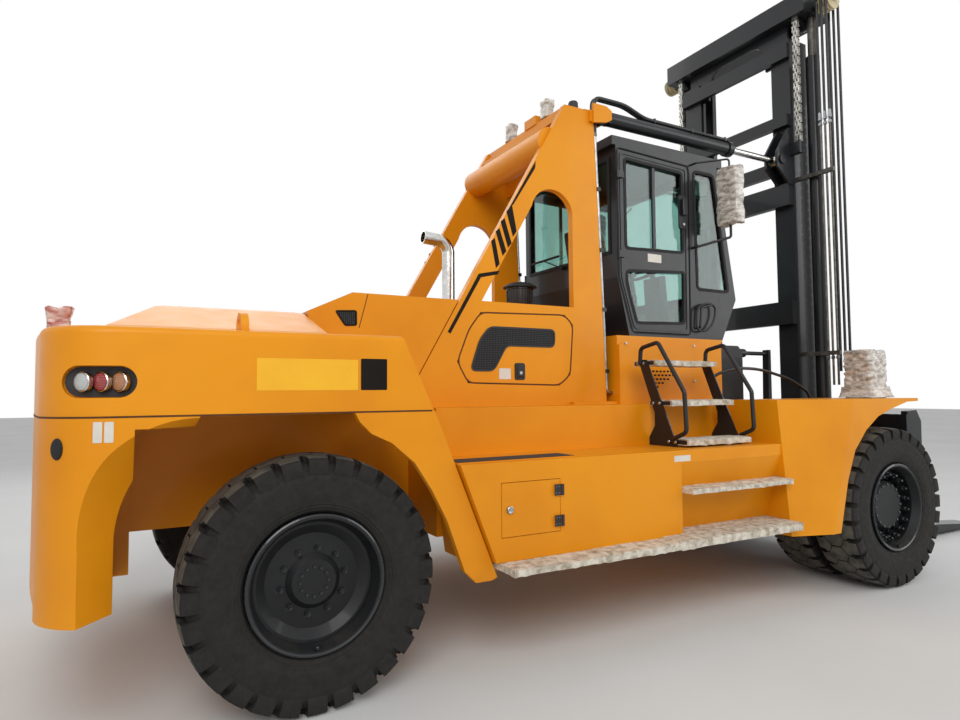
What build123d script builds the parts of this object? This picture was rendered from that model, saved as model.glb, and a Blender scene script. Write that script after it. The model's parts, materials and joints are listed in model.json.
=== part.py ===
from build123d import *
import os
from math import cos, pi, sin

os.makedirs("parts", exist_ok=True)

# A 30-tonne class diesel forklift: millimetres, +X towards the forks, +Y left, +Z up.
# Stations along X are measured forward from the steer axle and moved by at().

# Driving sizes of the whole truck
wheelbase = 5000
tyre_diameter = 1375
tyre_width = 375
twin_gap = 70
drive_track_outer = 3560
steer_track_outer = 3040
tail_overhang = 1385
fit_gap = 0.3
run_gap = 6

# Forks and carriage
fork_length = 2400
fork_width = 250
fork_thickness = 115
fork_spread = 1500
fork_shank_x = wheelbase + 810
fork_floor_gap = 40

wheel_radius = tyre_diameter / 2
nose_overhang = fork_shank_x + fork_thickness + fork_length
steer_axle_x = (tail_overhang - nose_overhang) / 2


def at(station):
    """Model X of a station measured forward from the steer axle."""
    return steer_axle_x + station


drive_axle_x = at(wheelbase)

# Chassis levels and widths
deck_z = 1605
frame_bottom_z = 760
frame_half = 1080
rear_frame_half = 600
front_frame_half = 900
wheel_bay_end = 900
rear_frame_end = -880
mid_frame_end = wheelbase - 750
front_frame_end = wheelbase - 100
engine_bay = (960, 2600)
engine_bay_half = 550
body_half = 1550

# Tower
tower_half = 680
tower_plate = 60
tower_foot = 820
tower_nose = 2690
tower_top_z = 4125
tower_crown = (2290, 2592)

# Cab
cab_half = 720
pedestal_rear = 2760
cab_wall = 45
cab_floor_z = 2190
cab_rear = 2800
cab_roof_z = 3860
cab_roof_top_z = 3985
door_gap = 8

# Mast
mast_rear = wheelbase + 210
mast_depth = 290
upright_half = 720
upright_wall = 40
upright_flange = 220
mast_foot_z = 280
inner_top_z = 5620
outer_top_z = inner_top_z - 170
crosshead_top_z = inner_top_z + 220
crosshead_half = 950
inner_foot_z = 340
lift_travel = 2500
lift_y = 882
lift_x = wheelbase + 365
lift_barrel_radius = 68
lift_rod_radius = 42
chain_y = 797
chain_width = 62
chain_thick = 42
pulley_radius = 122

# Tilt cylinders
tilt_y = 650
tilt_z = 4105
tilt_rear = 2700
tilt_front = wheelbase + 30
tilt_barrel_radius = 62
tilt_rod_radius = 32
tilt_pin_radius = 30
tilt_gland = tilt_front - 720


def box(x0, x1, y0, y1, z0, z1):
    """A block between two corners, X given as stations."""
    size = (x1 - x0, y1 - y0, z1 - z0)
    centre = (at((x0 + x1) / 2), (y0 + y1) / 2, (z0 + z1) / 2)
    return Pos(*centre) * Box(*size)


def side_face(path, y):
    """A face in the XZ plane at depth y from a closed path of stations and heights."""
    points = [Vector(at(x), y, z) for x, z in path]
    return make_face(Polyline(*points, close=True))


def side_plate(path, y0, y1):
    """A plate cut to a side outline, between two depths."""
    return extrude(side_face(path, y0), amount=y1 - y0, dir=(0, 1, 0))


def cross_plate(path, x0, x1):
    """A bar whose YZ section is given, between two stations."""
    points = [Vector(at(x0), y, z) for y, z in path]
    return extrude(make_face(Polyline(*points, close=True)), amount=x1 - x0, dir=(1, 0, 0))


def rod_y(x, z, y0, y1, radius):
    """A round bar across the truck."""
    return Pos(at(x), (y0 + y1) / 2, z) * Rot(90, 0, 0) * Cylinder(radius, abs(y1 - y0))


def rod_x(x0, x1, y, z, radius):
    """A round bar along the truck."""
    return Pos(at((x0 + x1) / 2), y, z) * Rot(0, 90, 0) * Cylinder(radius, x1 - x0)


def rod_z(x, y, z0, z1, radius):
    """An upright round bar."""
    return Pos(at(x), y, (z0 + z1) / 2) * Cylinder(radius, z1 - z0)


def turned(profile, x, y, z):
    """A solid of revolution about Y from pairs of offset along Y and radius."""
    face = make_face(Polyline(*[Vector(0, a, b) for a, b in profile], close=True))
    return Pos(at(x), y, z) * revolve(face, axis=Axis.Y)


def other_side(solid):
    return mirror(solid, about=Plane.XZ)


def both(solid):
    return [solid, other_side(solid)]


def pipe(points, radius, bend):
    """A round tube through points, with tangent arcs of one bend radius."""
    path = FilletPolyline(*[Vector(at(x), y, z) for x, y, z in points], radius=bend)
    start = Plane(origin=path @ 0, z_dir=path % 0)
    return sweep(start * Circle(radius), path=path)


def save(name, *solids):
    found = []
    for piece in solids:
        found += list(piece.solids())
    shape = found[0] if len(found) == 1 else Compound(children=found)
    shape.label = name
    export_step(shape, f"parts/{name}.step")


# Chassis frame: a welded box over the whole length, open under the hood for the engine.
def build_frame():
    rear = box(rear_frame_end, wheel_bay_end, -rear_frame_half, rear_frame_half, 900, deck_z)
    middle = box(wheel_bay_end, mid_frame_end, -frame_half, frame_half, frame_bottom_z, deck_z)
    bay = box(*engine_bay, -engine_bay_half, engine_bay_half, frame_bottom_z - 1, deck_z + 1)
    front = box(mid_frame_end, front_frame_end, -front_frame_half, front_frame_half,
                front_frame_bottom, deck_z)
    frame = rear + (middle - bay) + front
    saddle_path = [(wheelbase - 300, front_frame_bottom), (wheelbase + 90, front_frame_bottom),
                   (wheelbase + 90, wheel_radius), (wheelbase - 240, wheel_radius)]
    axle_seat = rod_y(wheelbase, wheel_radius, -1000, 1000, axle_tube_radius + fit_gap)
    for inner, outer in saddle_spans:
        saddle = side_plate(saddle_path, inner, outer) - axle_seat
        frame += saddle
        frame += other_side(saddle)
    hanger = box(-190, 190, -240, 240, steer_beam_top, 900)
    return frame + hanger


axle_tube_radius = 200
front_frame_bottom = 970
saddle_spans = ((300, 480), (715, 880))
steer_beam_top = 820
steer_beam_bottom = 555
kingpin_y = 1000
kingpin_radius = 45


# Counterweight: two castings that share one plan outline with a bowed tail.
def tail_outline(z, inset=0):
    tail = -tail_overhang + inset
    side = body_half - inset
    shoulder = 330
    corner_x = -1290 + inset
    start = Vector(at(700), -side, z)
    points = [Vector(at(corner_x + shoulder), -side, z), Vector(at(corner_x), -(side - shoulder), z)]
    mid_corner = Vector(at(corner_x + shoulder * (1 - sin(pi / 4))),
                        -(side - shoulder * (1 - cos(pi / 4))), z)
    right = Line(start, points[0])
    corner = ThreePointArc(points[0], mid_corner, points[1])
    back = ThreePointArc(points[1], Vector(at(tail), 0, z), Vector(points[1].X, -points[1].Y, z))
    corner_left = ThreePointArc(Vector(points[1].X, -points[1].Y, z),
                                Vector(mid_corner.X, -mid_corner.Y, z),
                                Vector(points[0].X, -points[0].Y, z))
    left = Line(Vector(points[0].X, -points[0].Y, z), Vector(start.X, side, z))
    front = Line(Vector(start.X, side, z), start)
    return make_face([right, corner, back, corner_left, left, front])


counterweight_bottom = 650
arch_end = -598
band_top_z = 2035


def arch_face(edge, top, y):
    """Opening of the rear wheel arch in the counterweight at one depth."""
    low = counterweight_bottom - 50
    foot = Vector(at(edge), y, low)
    spring = Vector(at(edge), y, 980)
    over = Vector(at(-600), y, top)
    mid = Vector(at(edge + 140), y, top - 170)
    lines = [Line(foot, spring), ThreePointArc(spring, mid, over),
             Line(over, Vector(at(1500), y, top)),
             Line(Vector(at(1500), y, top), Vector(at(1500), y, low)),
             Line(Vector(at(1500), y, low), foot)]
    return make_face(lines)


def build_counterweight_lower():
    block = extrude(tail_outline(counterweight_bottom), amount=deck_z - counterweight_bottom)
    block -= box(rear_frame_end - fit_gap, 1500, -body_half - 50, body_half + 50, 0, deck_z - 60)
    block -= box(arch_end, 1500, -body_half - 50, body_half + 50, 0, deck_z + 5)
    block -= box(rear_frame_end - fit_gap, 1500, -rear_frame_half - 1, rear_frame_half + 1, 0, 1700)
    mouth = loft([arch_face(-1135, deck_z - 10, -body_half - 5), arch_face(-960, deck_z - 60, -1350)])
    throat = extrude(arch_face(-960, deck_z - 60, -1350), amount=750, dir=(0, 1, 0))
    for cutter in both(mouth) + both(throat):
        block -= cutter
    foot_edges = [edge for edge in block.edges() if edge.bounding_box().max.Z < counterweight_bottom + 1
                  and edge.bounding_box().max.X < at(-1130)]
    block = fillet(foot_edges, foot_round)
    block -= rod_x(-1500, -1220, 0, tow_pin_z, 90)
    block = block + rod_z(-1325, 0, tow_pin_z - 95, tow_pin_z + 95, 28)
    return block


tow_pin_z = 900
foot_round = 60
band_round = 35


def build_counterweight_upper():
    band = extrude(tail_outline(deck_z), amount=band_top_z - deck_z)
    nose = side_plate([(666, deck_z), (900, deck_z), (900, band_top_z + 5), (470, band_top_z + 5)],
                      -body_half - 10, body_half + 10)
    band -= nose
    pocket = box(hood_tail - 40, 1000, -hood_half - 20, hood_half + 20, deck_z - 5, band_top_z + 5)
    band -= pocket
    for lamp_side in both(lamp_recess()):
        band -= lamp_side
    rim = [edge for edge in band.edges() if edge.bounding_box().min.Z > band_top_z - 1
           and max(abs(edge.bounding_box().min.Y), abs(edge.bounding_box().max.Y)) > hood_half + 50]
    band = fillet(rim, band_round)
    eye = build_lifting_eye()
    return band + eye + other_side(eye)


def build_lifting_eye():
    """Half-round plate with a shackle hole, on the band beside the cover."""
    y = -body_half + 150
    plate = cross_plate([(y - 100, band_top_z - 5), (y + 100, band_top_z - 5), (y + 100, band_top_z + 15),
                         (y - 100, band_top_z + 15)], -400, -360)
    plate += rod_x(-400, -360, y, band_top_z + 20, 85) & box(-500, 0, y - 150, y + 200, band_top_z, 2400)
    return plate - rod_x(-450, -300, y, band_top_z + 45, 28)


# Hood: a hollow rear box behind the tower and a flat lid between the tower plates.
hood_half = 680
hood_lid_half = tower_half - tower_plate - 10
hood_tail = 150
hood_top_z = 2408
hood_sheet = 30


def tower_back_x(z, shift=0):
    """Station of the sloping back edge of the tower at a height."""
    share = (z - deck_z) / (tower_top_z - deck_z)
    return tower_foot + (tower_crown[0] - tower_foot) * share + shift


def build_hood():
    leg = -10
    outline = [(hood_tail, deck_z), (hood_tail, 2265), (455, hood_top_z),
               (tower_back_x(hood_top_z, leg), hood_top_z), (tower_back_x(deck_z, leg), deck_z)]
    inner = [(hood_tail + hood_sheet, deck_z - 5), (hood_tail + hood_sheet, 2250),
             (460, hood_top_z - hood_sheet), (1700, hood_top_z - hood_sheet), (1700, deck_z - 5)]
    shell = side_plate(outline, -hood_half, hood_half)
    shell -= side_plate(inner, -hood_half + hood_sheet, hood_half - hood_sheet)
    lid = box(1200, 2620, -hood_lid_half, hood_lid_half, hood_top_z - hood_sheet, hood_top_z)
    front = box(2590, 2620, -hood_lid_half, hood_lid_half, deck_z, hood_top_z)
    return shell + lid + front


def build_rear_cover():
    """Crowned cover over the radiator, on top of the counterweight."""
    section = [(-1230, band_top_z), (-1150, 2075), (-600, 2250), (-250, 2300),
               (250, 2300), (600, 2250), (1150, 2075), (1230, band_top_z)]
    cover = cross_plate(section, -1050, hood_tail - 10)
    slope = side_plate([(-1060, band_top_z), (-1060, 2400), (-560, 2400)], -1300, 1300)
    return cover - slope


# Fenders
def build_rear_fender():
    arch = [(188, deck_z), (217, 1550), (286, 1482), (404, 1427), (545, 1307),
            (651, 1145), (747, 963), (863, 648), (940, 572), (1050, 572), (1085, 588)]
    plate = side_plate(arch + [(672, deck_z)], -body_half, -body_half + 50)
    liner_path = [(300, deck_z), (520, 1500), (700, 1340), (830, 1150), (925, 900),
                  (960, 660), (1056, 660), (672, deck_z)]
    liner = side_plate(liner_path, -body_half + 50, -frame_half)
    return plate + liner


fender_nose = wheelbase + 360
fender_top_z = deck_z + 27


def build_front_fender():
    axle = wheelbase
    arch = [(axle - 840, 557), (axle - 794, 718), (axle - 720, 975), (axle - 611, 1208), (axle - 444, 1372),
            (axle - 262, 1483), (axle - 51, 1545), (axle + 183, 1600), (fender_nose, deck_z)]
    path = [(recess_front, 560)] + arch + [(fender_nose, fender_top_z), (recess_front, fender_top_z)]
    outer = drive_track_outer / 2
    body = side_plate(path, -outer, -frame_half)
    # The side panel leans and flares, from the recess edge out to the arch face.
    recess = Vector(at(recess_front - 4), -outer + 180, 1290)
    low_edge = Vector(at(axle - 936), -outer, 560)
    high_edge = Vector(at(axle - 617), -outer, fender_top_z)
    normal = (high_edge - low_edge).cross(recess - low_edge)
    if normal.Y > 0:
        normal = normal * -1
    flare = Plane(origin=low_edge, z_dir=normal)
    body -= flare * Pos(0, 0, 1000) * Box(6000, 6000, 2000)
    deck_strip = box(mid_frame_end, fender_nose, -frame_half, -front_frame_half - 80, deck_z - 5, fender_top_z)
    return body + deck_strip


# Side tanks with the step recess, their boards and the tank door
tank_outer = 1595
tank_top_z = 1282
tank_bottom_z = 680
recess_rear = wheelbase - 2400
recess_front = wheelbase - 1300
tank_door = (1091, 1531, 824, 1158)
door_sheet = 14
recess_foot_y = 1430
lean_top_z = 1195


mid_tread_z = 1000


def lean_y(z):
    """Distance from the centre of the wall that leans in above the running board."""
    return tank_outer - (tank_outer - recess_foot_y) * (lean_top_z - z) / (lean_top_z - tank_bottom_z)


def build_side_tank(with_door):
    path = [(1056, tank_bottom_z), (recess_front - fit_gap, tank_bottom_z),
            (recess_front - fit_gap, tank_top_z), (816, tank_top_z)]
    tank = side_plate(path, -tank_outer, -frame_half)
    lean = cross_plate([(-tank_outer, lean_top_z), (-lean_y(tank_bottom_z), tank_bottom_z),
                        (-tank_outer, tank_bottom_z)], recess_rear, recess_front + 5)
    tank -= lean
    if with_door:
        x0, x1, z0, z1 = tank_door
        tank -= box(x0, x1, -tank_outer - 1, -tank_outer + door_sheet + 4, z0, z1)
    strip = side_plate([(830, tank_top_z), (1700, tank_top_z), (1700, tank_top_z + 6),
                        (830, tank_top_z + 6)], -tank_outer + 60, -tank_outer + 260)
    return tank + strip


def build_tank_door():
    x0, x1, z0, z1 = tank_door
    gap = door_gap / 2
    panel = box(x0 + gap, x1 - gap, -tank_outer, -tank_outer + door_sheet, z0 + gap, z1 - gap)
    for z in (z0 + 70, z1 - 70):
        panel += rod_z(x1 + 6, -tank_outer - 12, z - 35, z + 35, 9)
        panel += box(x1 - 50, x1 + 6, -tank_outer - 12, -tank_outer, z - 30, z + 30)
    latch = rod_y(x0 + 60, (z0 + z1) / 2, -tank_outer - 10, -tank_outer, 22)
    return panel + latch


board_top_z = tank_bottom_z
board_thick = 34


def build_step_boards():
    outer = drive_track_outer / 2
    board = box(1070, recess_front - 5, -outer, -1380, board_top_z - board_thick, board_top_z)
    low, high = mid_tread_z - 15, mid_tread_z + 15
    tread = cross_plate([(-1705, low), (-1705, high), (-lean_y(high), high), (-lean_y(low), low)],
                        recess_rear, recess_front - 5)
    return board, tread


# Tower: two window plates and the cross tubes between them
def tower_window():
    sill = 2412
    bottom_rear = Vector(at(1478), 0, sill)
    bottom_front = Vector(at(2354), 0, sill)
    spring_front = Vector(at(2354), 0, 3200)
    crown = Vector(at(2160), 0, 3378)
    spring_rear = Vector(at(1950), 0, 3220)
    lines = [Line(bottom_rear, bottom_front), Line(bottom_front, spring_front),
             ThreePointArc(spring_front, crown, spring_rear), Line(spring_rear, bottom_rear)]
    return make_face(lines)


engine_door_path = [(1262, 1941), (1353, 1780), (2200, 1762), (2311, 1850),
                    (2345, 2264), (2258, 2345), (1467, 2325), (1362, 2190)]


def shrink(path, gap):
    """The same outline moved in by a gap, for a door inside its opening."""
    face = side_face(path, 0)
    return offset(face, amount=-gap)


def build_tower_plate():
    outline = [(tower_foot, deck_z), (tower_nose, deck_z), (tower_crown[1], tower_top_z),
               (tower_crown[0], tower_top_z)]
    plate = side_plate(outline, -tower_half, -tower_half + tower_plate)
    window = extrude(tower_window(), amount=tower_half + 50, dir=(0, -1, 0))
    opening = extrude(shrink(engine_door_path, 0), amount=tower_half + 50, dir=(0, -1, 0))
    plate = plate - window - opening
    foot = box(2300, pedestal_rear - 5, -tower_half - 60, -tower_half + tower_plate, deck_z, deck_z + 22)
    return plate + foot


def build_tower_ties():
    inner = tower_half - tower_plate / 2
    tube = rod_y(2160, 3790, -inner, inner, 125)
    crown = box(2330, 2535, -inner, inner, tower_top_z - 30, tower_top_z)
    crown += box(2505, 2535, -inner, inner, 3700, tower_top_z - 30)
    lamp_bar = box(2230, 2330, -inner, inner, tower_top_z - 130, tower_top_z - 100)
    lamp_bar += box(2300, 2330, -inner, inner, tower_top_z - 130, tower_top_z)
    bracket = box(2290, 2390, -240, -60, tower_top_z - 5, tower_top_z + 75)
    return tube + crown + lamp_bar + bracket


def build_tilt_lugs():
    lugs = []
    for y in (tilt_y - 78, tilt_y + 54):
        path = [(2560, tilt_z - 95), (tilt_rear, tilt_z - 72), (tilt_rear + 60, tilt_z - 40),
                (tilt_rear + 60, tilt_z + 40), (tilt_rear, tilt_z + 72), (2560, tilt_z + 72)]
        lugs.append(side_plate(path, -y - 24, -y))
    web = box(2540, 2600, -tilt_y - 54, -tilt_y + 54, tilt_z - 80, tilt_z + 20)
    return lugs[0] + lugs[1] + web


def build_engine_door():
    face = shrink(engine_door_path, door_gap)
    sheet = 20
    panel = extrude(face, amount=sheet, dir=(0, -1, 0))
    panel = Pos(0, -tower_half + sheet, 0) * panel
    grille = side_plate([(1500, 1900), (1700, 1900), (1790, 2050), (2150, 2050), (2150, 2190),
                         (1560, 2190), (1500, 2060)], -tower_half - 6, -tower_half)
    latch = box(1860, 1950, -tower_half - 16, -tower_half, 1800, 1900)
    bar = rod_x(1500, 2230, -tower_half - 12, engine_hinge_z, 9)
    bar_plate = box(1520, 2210, -tower_half - 12, -tower_half, engine_hinge_z - 45, engine_hinge_z)
    return panel + grille + latch + bar + bar_plate


engine_hinge_z = 2345


# Engine, exhaust and air cleaner
def build_engine():
    block = box(1060, 2380, -400, 400, 960, 2120)
    for x in (1150, 2170):
        block += box(x, x + 120, -engine_bay_half, engine_bay_half, 1180, 1280)
    return block


exhaust_y = -180
exhaust_x = 1440
exhaust_radius = 52


def build_exhaust():
    points = [(exhaust_x, exhaust_y, hood_top_z), (exhaust_x, exhaust_y, 2965),
              (exhaust_x - 230, exhaust_y, 2985)]
    bend = pipe(points, exhaust_radius, 105)
    mouth = Plane(origin=(at(exhaust_x - 231), exhaust_y, 2985), z_dir=(1, 0, -0.087))
    return bend - extrude(mouth * Circle(exhaust_radius - 6), amount=90)


cleaner_x = 2130
cleaner_y = -200


def build_air_cleaner():
    body = rod_z(cleaner_x, cleaner_y, hood_top_z, hood_top_z + 210, 120)
    neck = rod_z(cleaner_x, cleaner_y, hood_top_z + 210, hood_top_z + 235, 100)
    cap = Pos(at(cleaner_x), cleaner_y, hood_top_z + 265) * Cone(150, 70, 60)
    return body + neck + cap


# Cab
cab_front_low = 4080
cab_front_knee = (4280, 2590)
cab_front_top = 4055


cab_rear_cut = (120, 2700)


def cab_outline(inset=0):
    return [(cab_rear + cab_rear_cut[0] + inset, cab_floor_z + inset),
            (cab_front_low - inset * 0.6, cab_floor_z + inset),
            (cab_front_knee[0] - inset, cab_front_knee[1]), (cab_front_top - inset, cab_roof_z),
            (cab_rear + inset, cab_roof_z), (cab_rear + inset, cab_rear_cut[1])]


door_path = [(2815, 3835), (3675, 3805), (3655, 2225), (2960, 2225), (2815, 2705)]
front_side_window = [(3745, 3770), (4005, 3770), (4175, 2660), (3765, 2660)]
rear_window = (2930, 3760)
windscreen = (2680, 3790)
glass_thick = 10


def build_cab_shell():
    shell = side_plate(cab_outline(), -cab_half, cab_half)
    low_rear, low_front, knee, top_front, top_rear, cut = cab_outline(cab_wall)
    hollow = side_plate([low_rear, low_front, knee, (top_front[0], cab_roof_z + 5),
                         (top_rear[0], cab_roof_z + 5), cut], -cab_half + cab_wall, cab_half - cab_wall)
    shell -= hollow
    for path in (door_path, front_side_window):
        cutter = side_plate(path, -cab_half - 20, -cab_half + cab_wall + 5)
        shell -= cutter
        shell -= other_side(cutter)
    glass_half = cab_half - 95
    shell -= box(cab_rear - 20, cab_rear + 90, -glass_half, glass_half, *rear_window)
    shell -= box(3990, 4400, -glass_half, glass_half, *windscreen)
    handle = build_grab_handle()
    return shell + handle + other_side(handle)


def build_grab_handle():
    """Slanted loop on the panel below the front side window."""
    y = -cab_half - 38
    low, high = (3745, 2290), (3925, 2520)
    loop = [(low[0], -cab_half + 10, low[1]), (low[0], y, low[1]), (low[0] + 20, y, high[1] - 40),
            (high[0], y, high[1]), (high[0], -cab_half + 10, high[1])]
    return pipe(loop, 11, 26)


def build_cab_roof():
    slab = box(cab_rear - 40, 4130, -cab_half, cab_half, cab_roof_z, cab_roof_top_z - 45)
    crown = box(cab_rear + 60, 4030, -cab_half + 130, cab_half - 130, cab_roof_top_z - 45,
                cab_roof_top_z)
    return slab + crown


def build_cab_glass():
    """Fixed panes, each set in its opening: side pair, rear and windscreen."""
    panes = []
    pane = side_plate(front_side_window, -cab_half + 15, -cab_half + 15 + glass_thick)
    panes += both(pane)
    glass_half = cab_half - 95
    panes.append(box(cab_rear + 15, cab_rear + 15 + glass_thick, -glass_half, glass_half, *rear_window))
    low, high = windscreen
    rise = (cab_front_knee[0] - cab_front_top) / (cab_roof_z - cab_front_knee[1])
    x_low = cab_front_knee[0] - (low - cab_front_knee[1]) * rise - 20
    x_high = cab_front_knee[0] - (high - cab_front_knee[1]) * rise - 20
    panes.append(side_plate([(x_low, low), (x_low - glass_thick, low),
                             (x_high - glass_thick, high), (x_high, high)], -glass_half, glass_half))
    return panes


door_thick = 40
door_upper = [(2900, 3755), (3590, 3730), (3590, 2985), (2900, 2960)]
door_lower = [(2905, 2760), (3595, 2800), (3585, 2330), (3010, 2310), (2905, 2650)]
cab_door_hinge_y = cab_half + 18


def build_cab_door():
    face = offset(side_face(door_path, 0), amount=-door_gap)
    panel = Pos(0, -cab_half + door_thick, 0) * extrude(face, amount=door_thick, dir=(0, -1, 0))
    for hole in (door_upper, door_lower):
        panel -= side_plate(hole, -cab_half - 5, -cab_half + door_thick + 5)
    mullion = box(3230, 3262, -cab_half + 8, -cab_half + 28, 2900, 3800)
    panel += mullion
    handle = box(3560, 3620, -cab_half - 40, -cab_half - 22, 3330, 3480)
    handle += box(3575, 3605, -cab_half - 40, -cab_half, 3330, 3350)
    handle += box(3575, 3605, -cab_half - 40, -cab_half, 3460, 3480)
    for z in (2900, 3600):
        handle += rod_z(cab_rear + 4, -cab_door_hinge_y, z - 40, z + 40, 11)
        handle += box(cab_rear + 4, 2870, -cab_door_hinge_y - 6, -cab_half, z - 30, z + 30)
    return panel + handle


def build_door_glass():
    panes = []
    for hole in (door_upper, door_lower):
        pane = side_plate(hole, -cab_half + 29, -cab_half + 29 + glass_thick)
        panes.append(pane)
    return panes


def build_pedestal():
    """Cab stand on the deck, with a flanged top."""
    rear = pedestal_rear
    path = [(rear, deck_z), (4000, deck_z), (4000, 2110), (rear, 2110)]
    stand = side_plate(path, -770, 770)
    top = side_plate([(rear, 2110), (rear, cab_floor_z), (4060, cab_floor_z), (4000, 2110)], -740, 740)
    return stand + top


valve_front = 4440
valve_half = 650
valve_top_z = 2150
valve_rod_z = 2085


def build_valve_block():
    """Hydraulic valve housing in front of the cab, with its bright rod and rod bracket."""
    rear = cab_front_low
    housing = side_plate([(4006, deck_z), (valve_front, deck_z), (valve_front, valve_top_z - 60),
                          (valve_front - 60, valve_top_z), (rear, valve_top_z), (rear, 2100), (4006, 2060)],
                         -valve_half, valve_half)
    y = -valve_half + 50
    sleeve = rod_x(valve_front - 5, valve_front + 75, y, valve_rod_z, 42)
    end = mast_rear - 325
    rod = rod_x(valve_front, end - 5, y, valve_rod_z, 20)
    post_top = valve_rod_z + 40
    post = side_plate([(end - 50, deck_z), (end, deck_z), (end, post_top), (end - 35, post_top)], y - 35, y + 35)
    return housing + sleeve + rod + post


def build_seat():
    base = box(3080, 3420, -230, 230, cab_floor_z + cab_wall, 2560)
    cushion = box(3020, 3500, -260, 260, 2560, 2680)
    back = side_plate([(3020, 2680), (3130, 2680), (3010, 3330), (2910, 3330)], -250, 250)
    return base + cushion + back


def build_console():
    post = side_plate([(3900, cab_floor_z + cab_wall), (4020, cab_floor_z + cab_wall),
                       (3960, 2900), (3870, 2880)], -110, 110)
    wheel = Pos(at(3850), 0, 2960) * Rot(0, -32, 0) * Torus(190, 16)
    hub = Pos(at(3850), 0, 2960) * Rot(0, -32, 0) * Cylinder(45, 60)
    spokes = Pos(at(3850), 0, 2960) * Rot(0, -32, 0) * Box(24, 380, 14)
    column = Pos(at(3885), 0, 2905) * Rot(0, -32, 0) * Cylinder(28, 130)
    return post + wheel + hub + spokes + column


mirror_at = (3950, -960, 3500)
mirror_size = (60, 200, 470)


def build_mirror():
    """Mirror head between a lower arm off the cab pillar and an upper one off the roof."""
    x, y, z = mirror_at
    half = mirror_size[2] / 2
    side = -cab_half - fit_gap
    low = pipe([(3705, side, 3040), (3705, side - 60, 3040), (x, y, 3120), (x, y, z - half + 20)], 12, 25)
    high = pipe([(3720, side, 3830), (3720, side - 60, 3830), (x, y, 3850), (x, y, z + half - 20)], 9, 24)
    head = Pos(at(x), y, z) * Box(*mirror_size)
    return low + high + fillet(head.edges(), 25)


# Ladder on the side tank, leaning in towards the cab
ladder_rear = recess_rear + 190
ladder_front = recess_front - 210
ladder_treads = ((1952, 1010), (1630, 1180), (1335, 1340))


def build_ladder():
    foot = frame_half + 6
    stringer_path = [(-975, 1965), (-1067, 1965), (-1385, tank_top_z), (-foot, tank_top_z),
                     (-foot, 1345), (-1150, 1440), (-1150, 1540)]
    ladder = cross_plate(stringer_path, ladder_rear - 10, ladder_rear)
    ladder += cross_plate(stringer_path, ladder_front, ladder_front + 10)
    for z, y in ladder_treads:
        ladder += box(ladder_rear, ladder_front, -y - 130, -y + 90, z - 30, z)
    for x in (ladder_rear - 24, ladder_front + 24):
        rail = pipe([(x, -1010, 1930), (x, -1022, 2060), (x, -1215, 2095), (x, -1480, 1700),
                     (x, -1494, 1400), (x, -1360, 1345)], 17, 45)
        ladder += rail
    return ladder


# Axles and wheels
def build_drive_axle():
    inner = drive_track_outer / 2 - 2 * tyre_width - twin_gap
    tube = rod_y(wheelbase, wheel_radius, -inner - 60, inner + 60, axle_tube_radius)
    spindle = rod_y(wheelbase, wheel_radius, -1300, 1300, spindle_radius)
    bowl = Pos(at(wheelbase), 0, wheel_radius) * Sphere(bowl_radius)
    return tube + spindle + bowl


bowl_radius = 240
spindle_radius = 110
rim_radius = 372


# Tread: one flat a lug, cut at both shoulders by a notch that opens outwards
lug_count = 28
lug_depth = 38
lug_reach = 78
notch_share = 0.3
shoulder_scale = 0.95
sidewall_radius = 480
bead_step = 26


def wheel_face(x, y, corners):
    """A face across the wheel axle from polar corners; turn 0 points at the floor."""
    return side_face([(x + radius * sin(turn), wheel_radius - radius * cos(turn))
                      for radius, turn in corners], y)


def tread_corners(notched, scale=1.0):
    pitch = 2 * pi / lug_count
    half = pitch * (1 - notch_share) / 2
    corner = wheel_radius / cos(half) * scale
    corners = []
    for lug in range(lug_count):
        turn = pitch * lug
        corners += [(corner, turn - half), (corner, turn + half)]
        if notched:
            corners.append(((wheel_radius - lug_depth) * scale, turn + pitch / 2))
    return corners


def round_corners(radius):
    """Flats at one radius, one a lug."""
    pitch = 2 * pi / lug_count
    return [(radius / cos(pitch / 2), pitch * (lug + 0.5)) for lug in range(lug_count)]


def tyre_solid(x, centre_y):
    half = tyre_width / 2
    inner = half - lug_reach
    drum = wheel_face(x, centre_y - inner, tread_corners(False))
    tyre = extrude(drum, amount=2 * inner, dir=(0, 1, 0))
    for side in (-1, 1):
        shoulder = [wheel_face(x, centre_y + side * inner, tread_corners(True)),
                    wheel_face(x, centre_y + side * half, tread_corners(True, shoulder_scale))]
        tyre += loft(shoulder, ruled=True)
    for side in (-1, 1):
        dish = [wheel_face(x, centre_y + side * (half - bead_step), round_corners(rim_radius)),
                wheel_face(x, centre_y + side * half, round_corners(sidewall_radius))]
        tyre -= loft(dish, ruled=True)
    bore = wheel_face(x, centre_y - half - 1, round_corners(rim_radius))
    return tyre - extrude(bore, amount=tyre_width + 2, dir=(0, 1, 0))


def rim_ring(x, centre_y):
    """Steel rim of one tyre: barrel and rolled flanges."""
    half = tyre_width / 2 - 12
    outer = rim_radius - fit_gap
    profile = [(-half, outer), (half, outer), (half, outer - 22), (half - 60, outer - 48),
               (-half + 60, outer - 48), (-half, outer - 22)]
    return turned(profile, x, centre_y, wheel_radius)


drive_outer_y = drive_track_outer / 2 - tyre_width / 2
drive_inner_y = drive_outer_y - tyre_width - twin_gap
steer_wheel_y = steer_track_outer / 2 - tyre_width / 2


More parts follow.
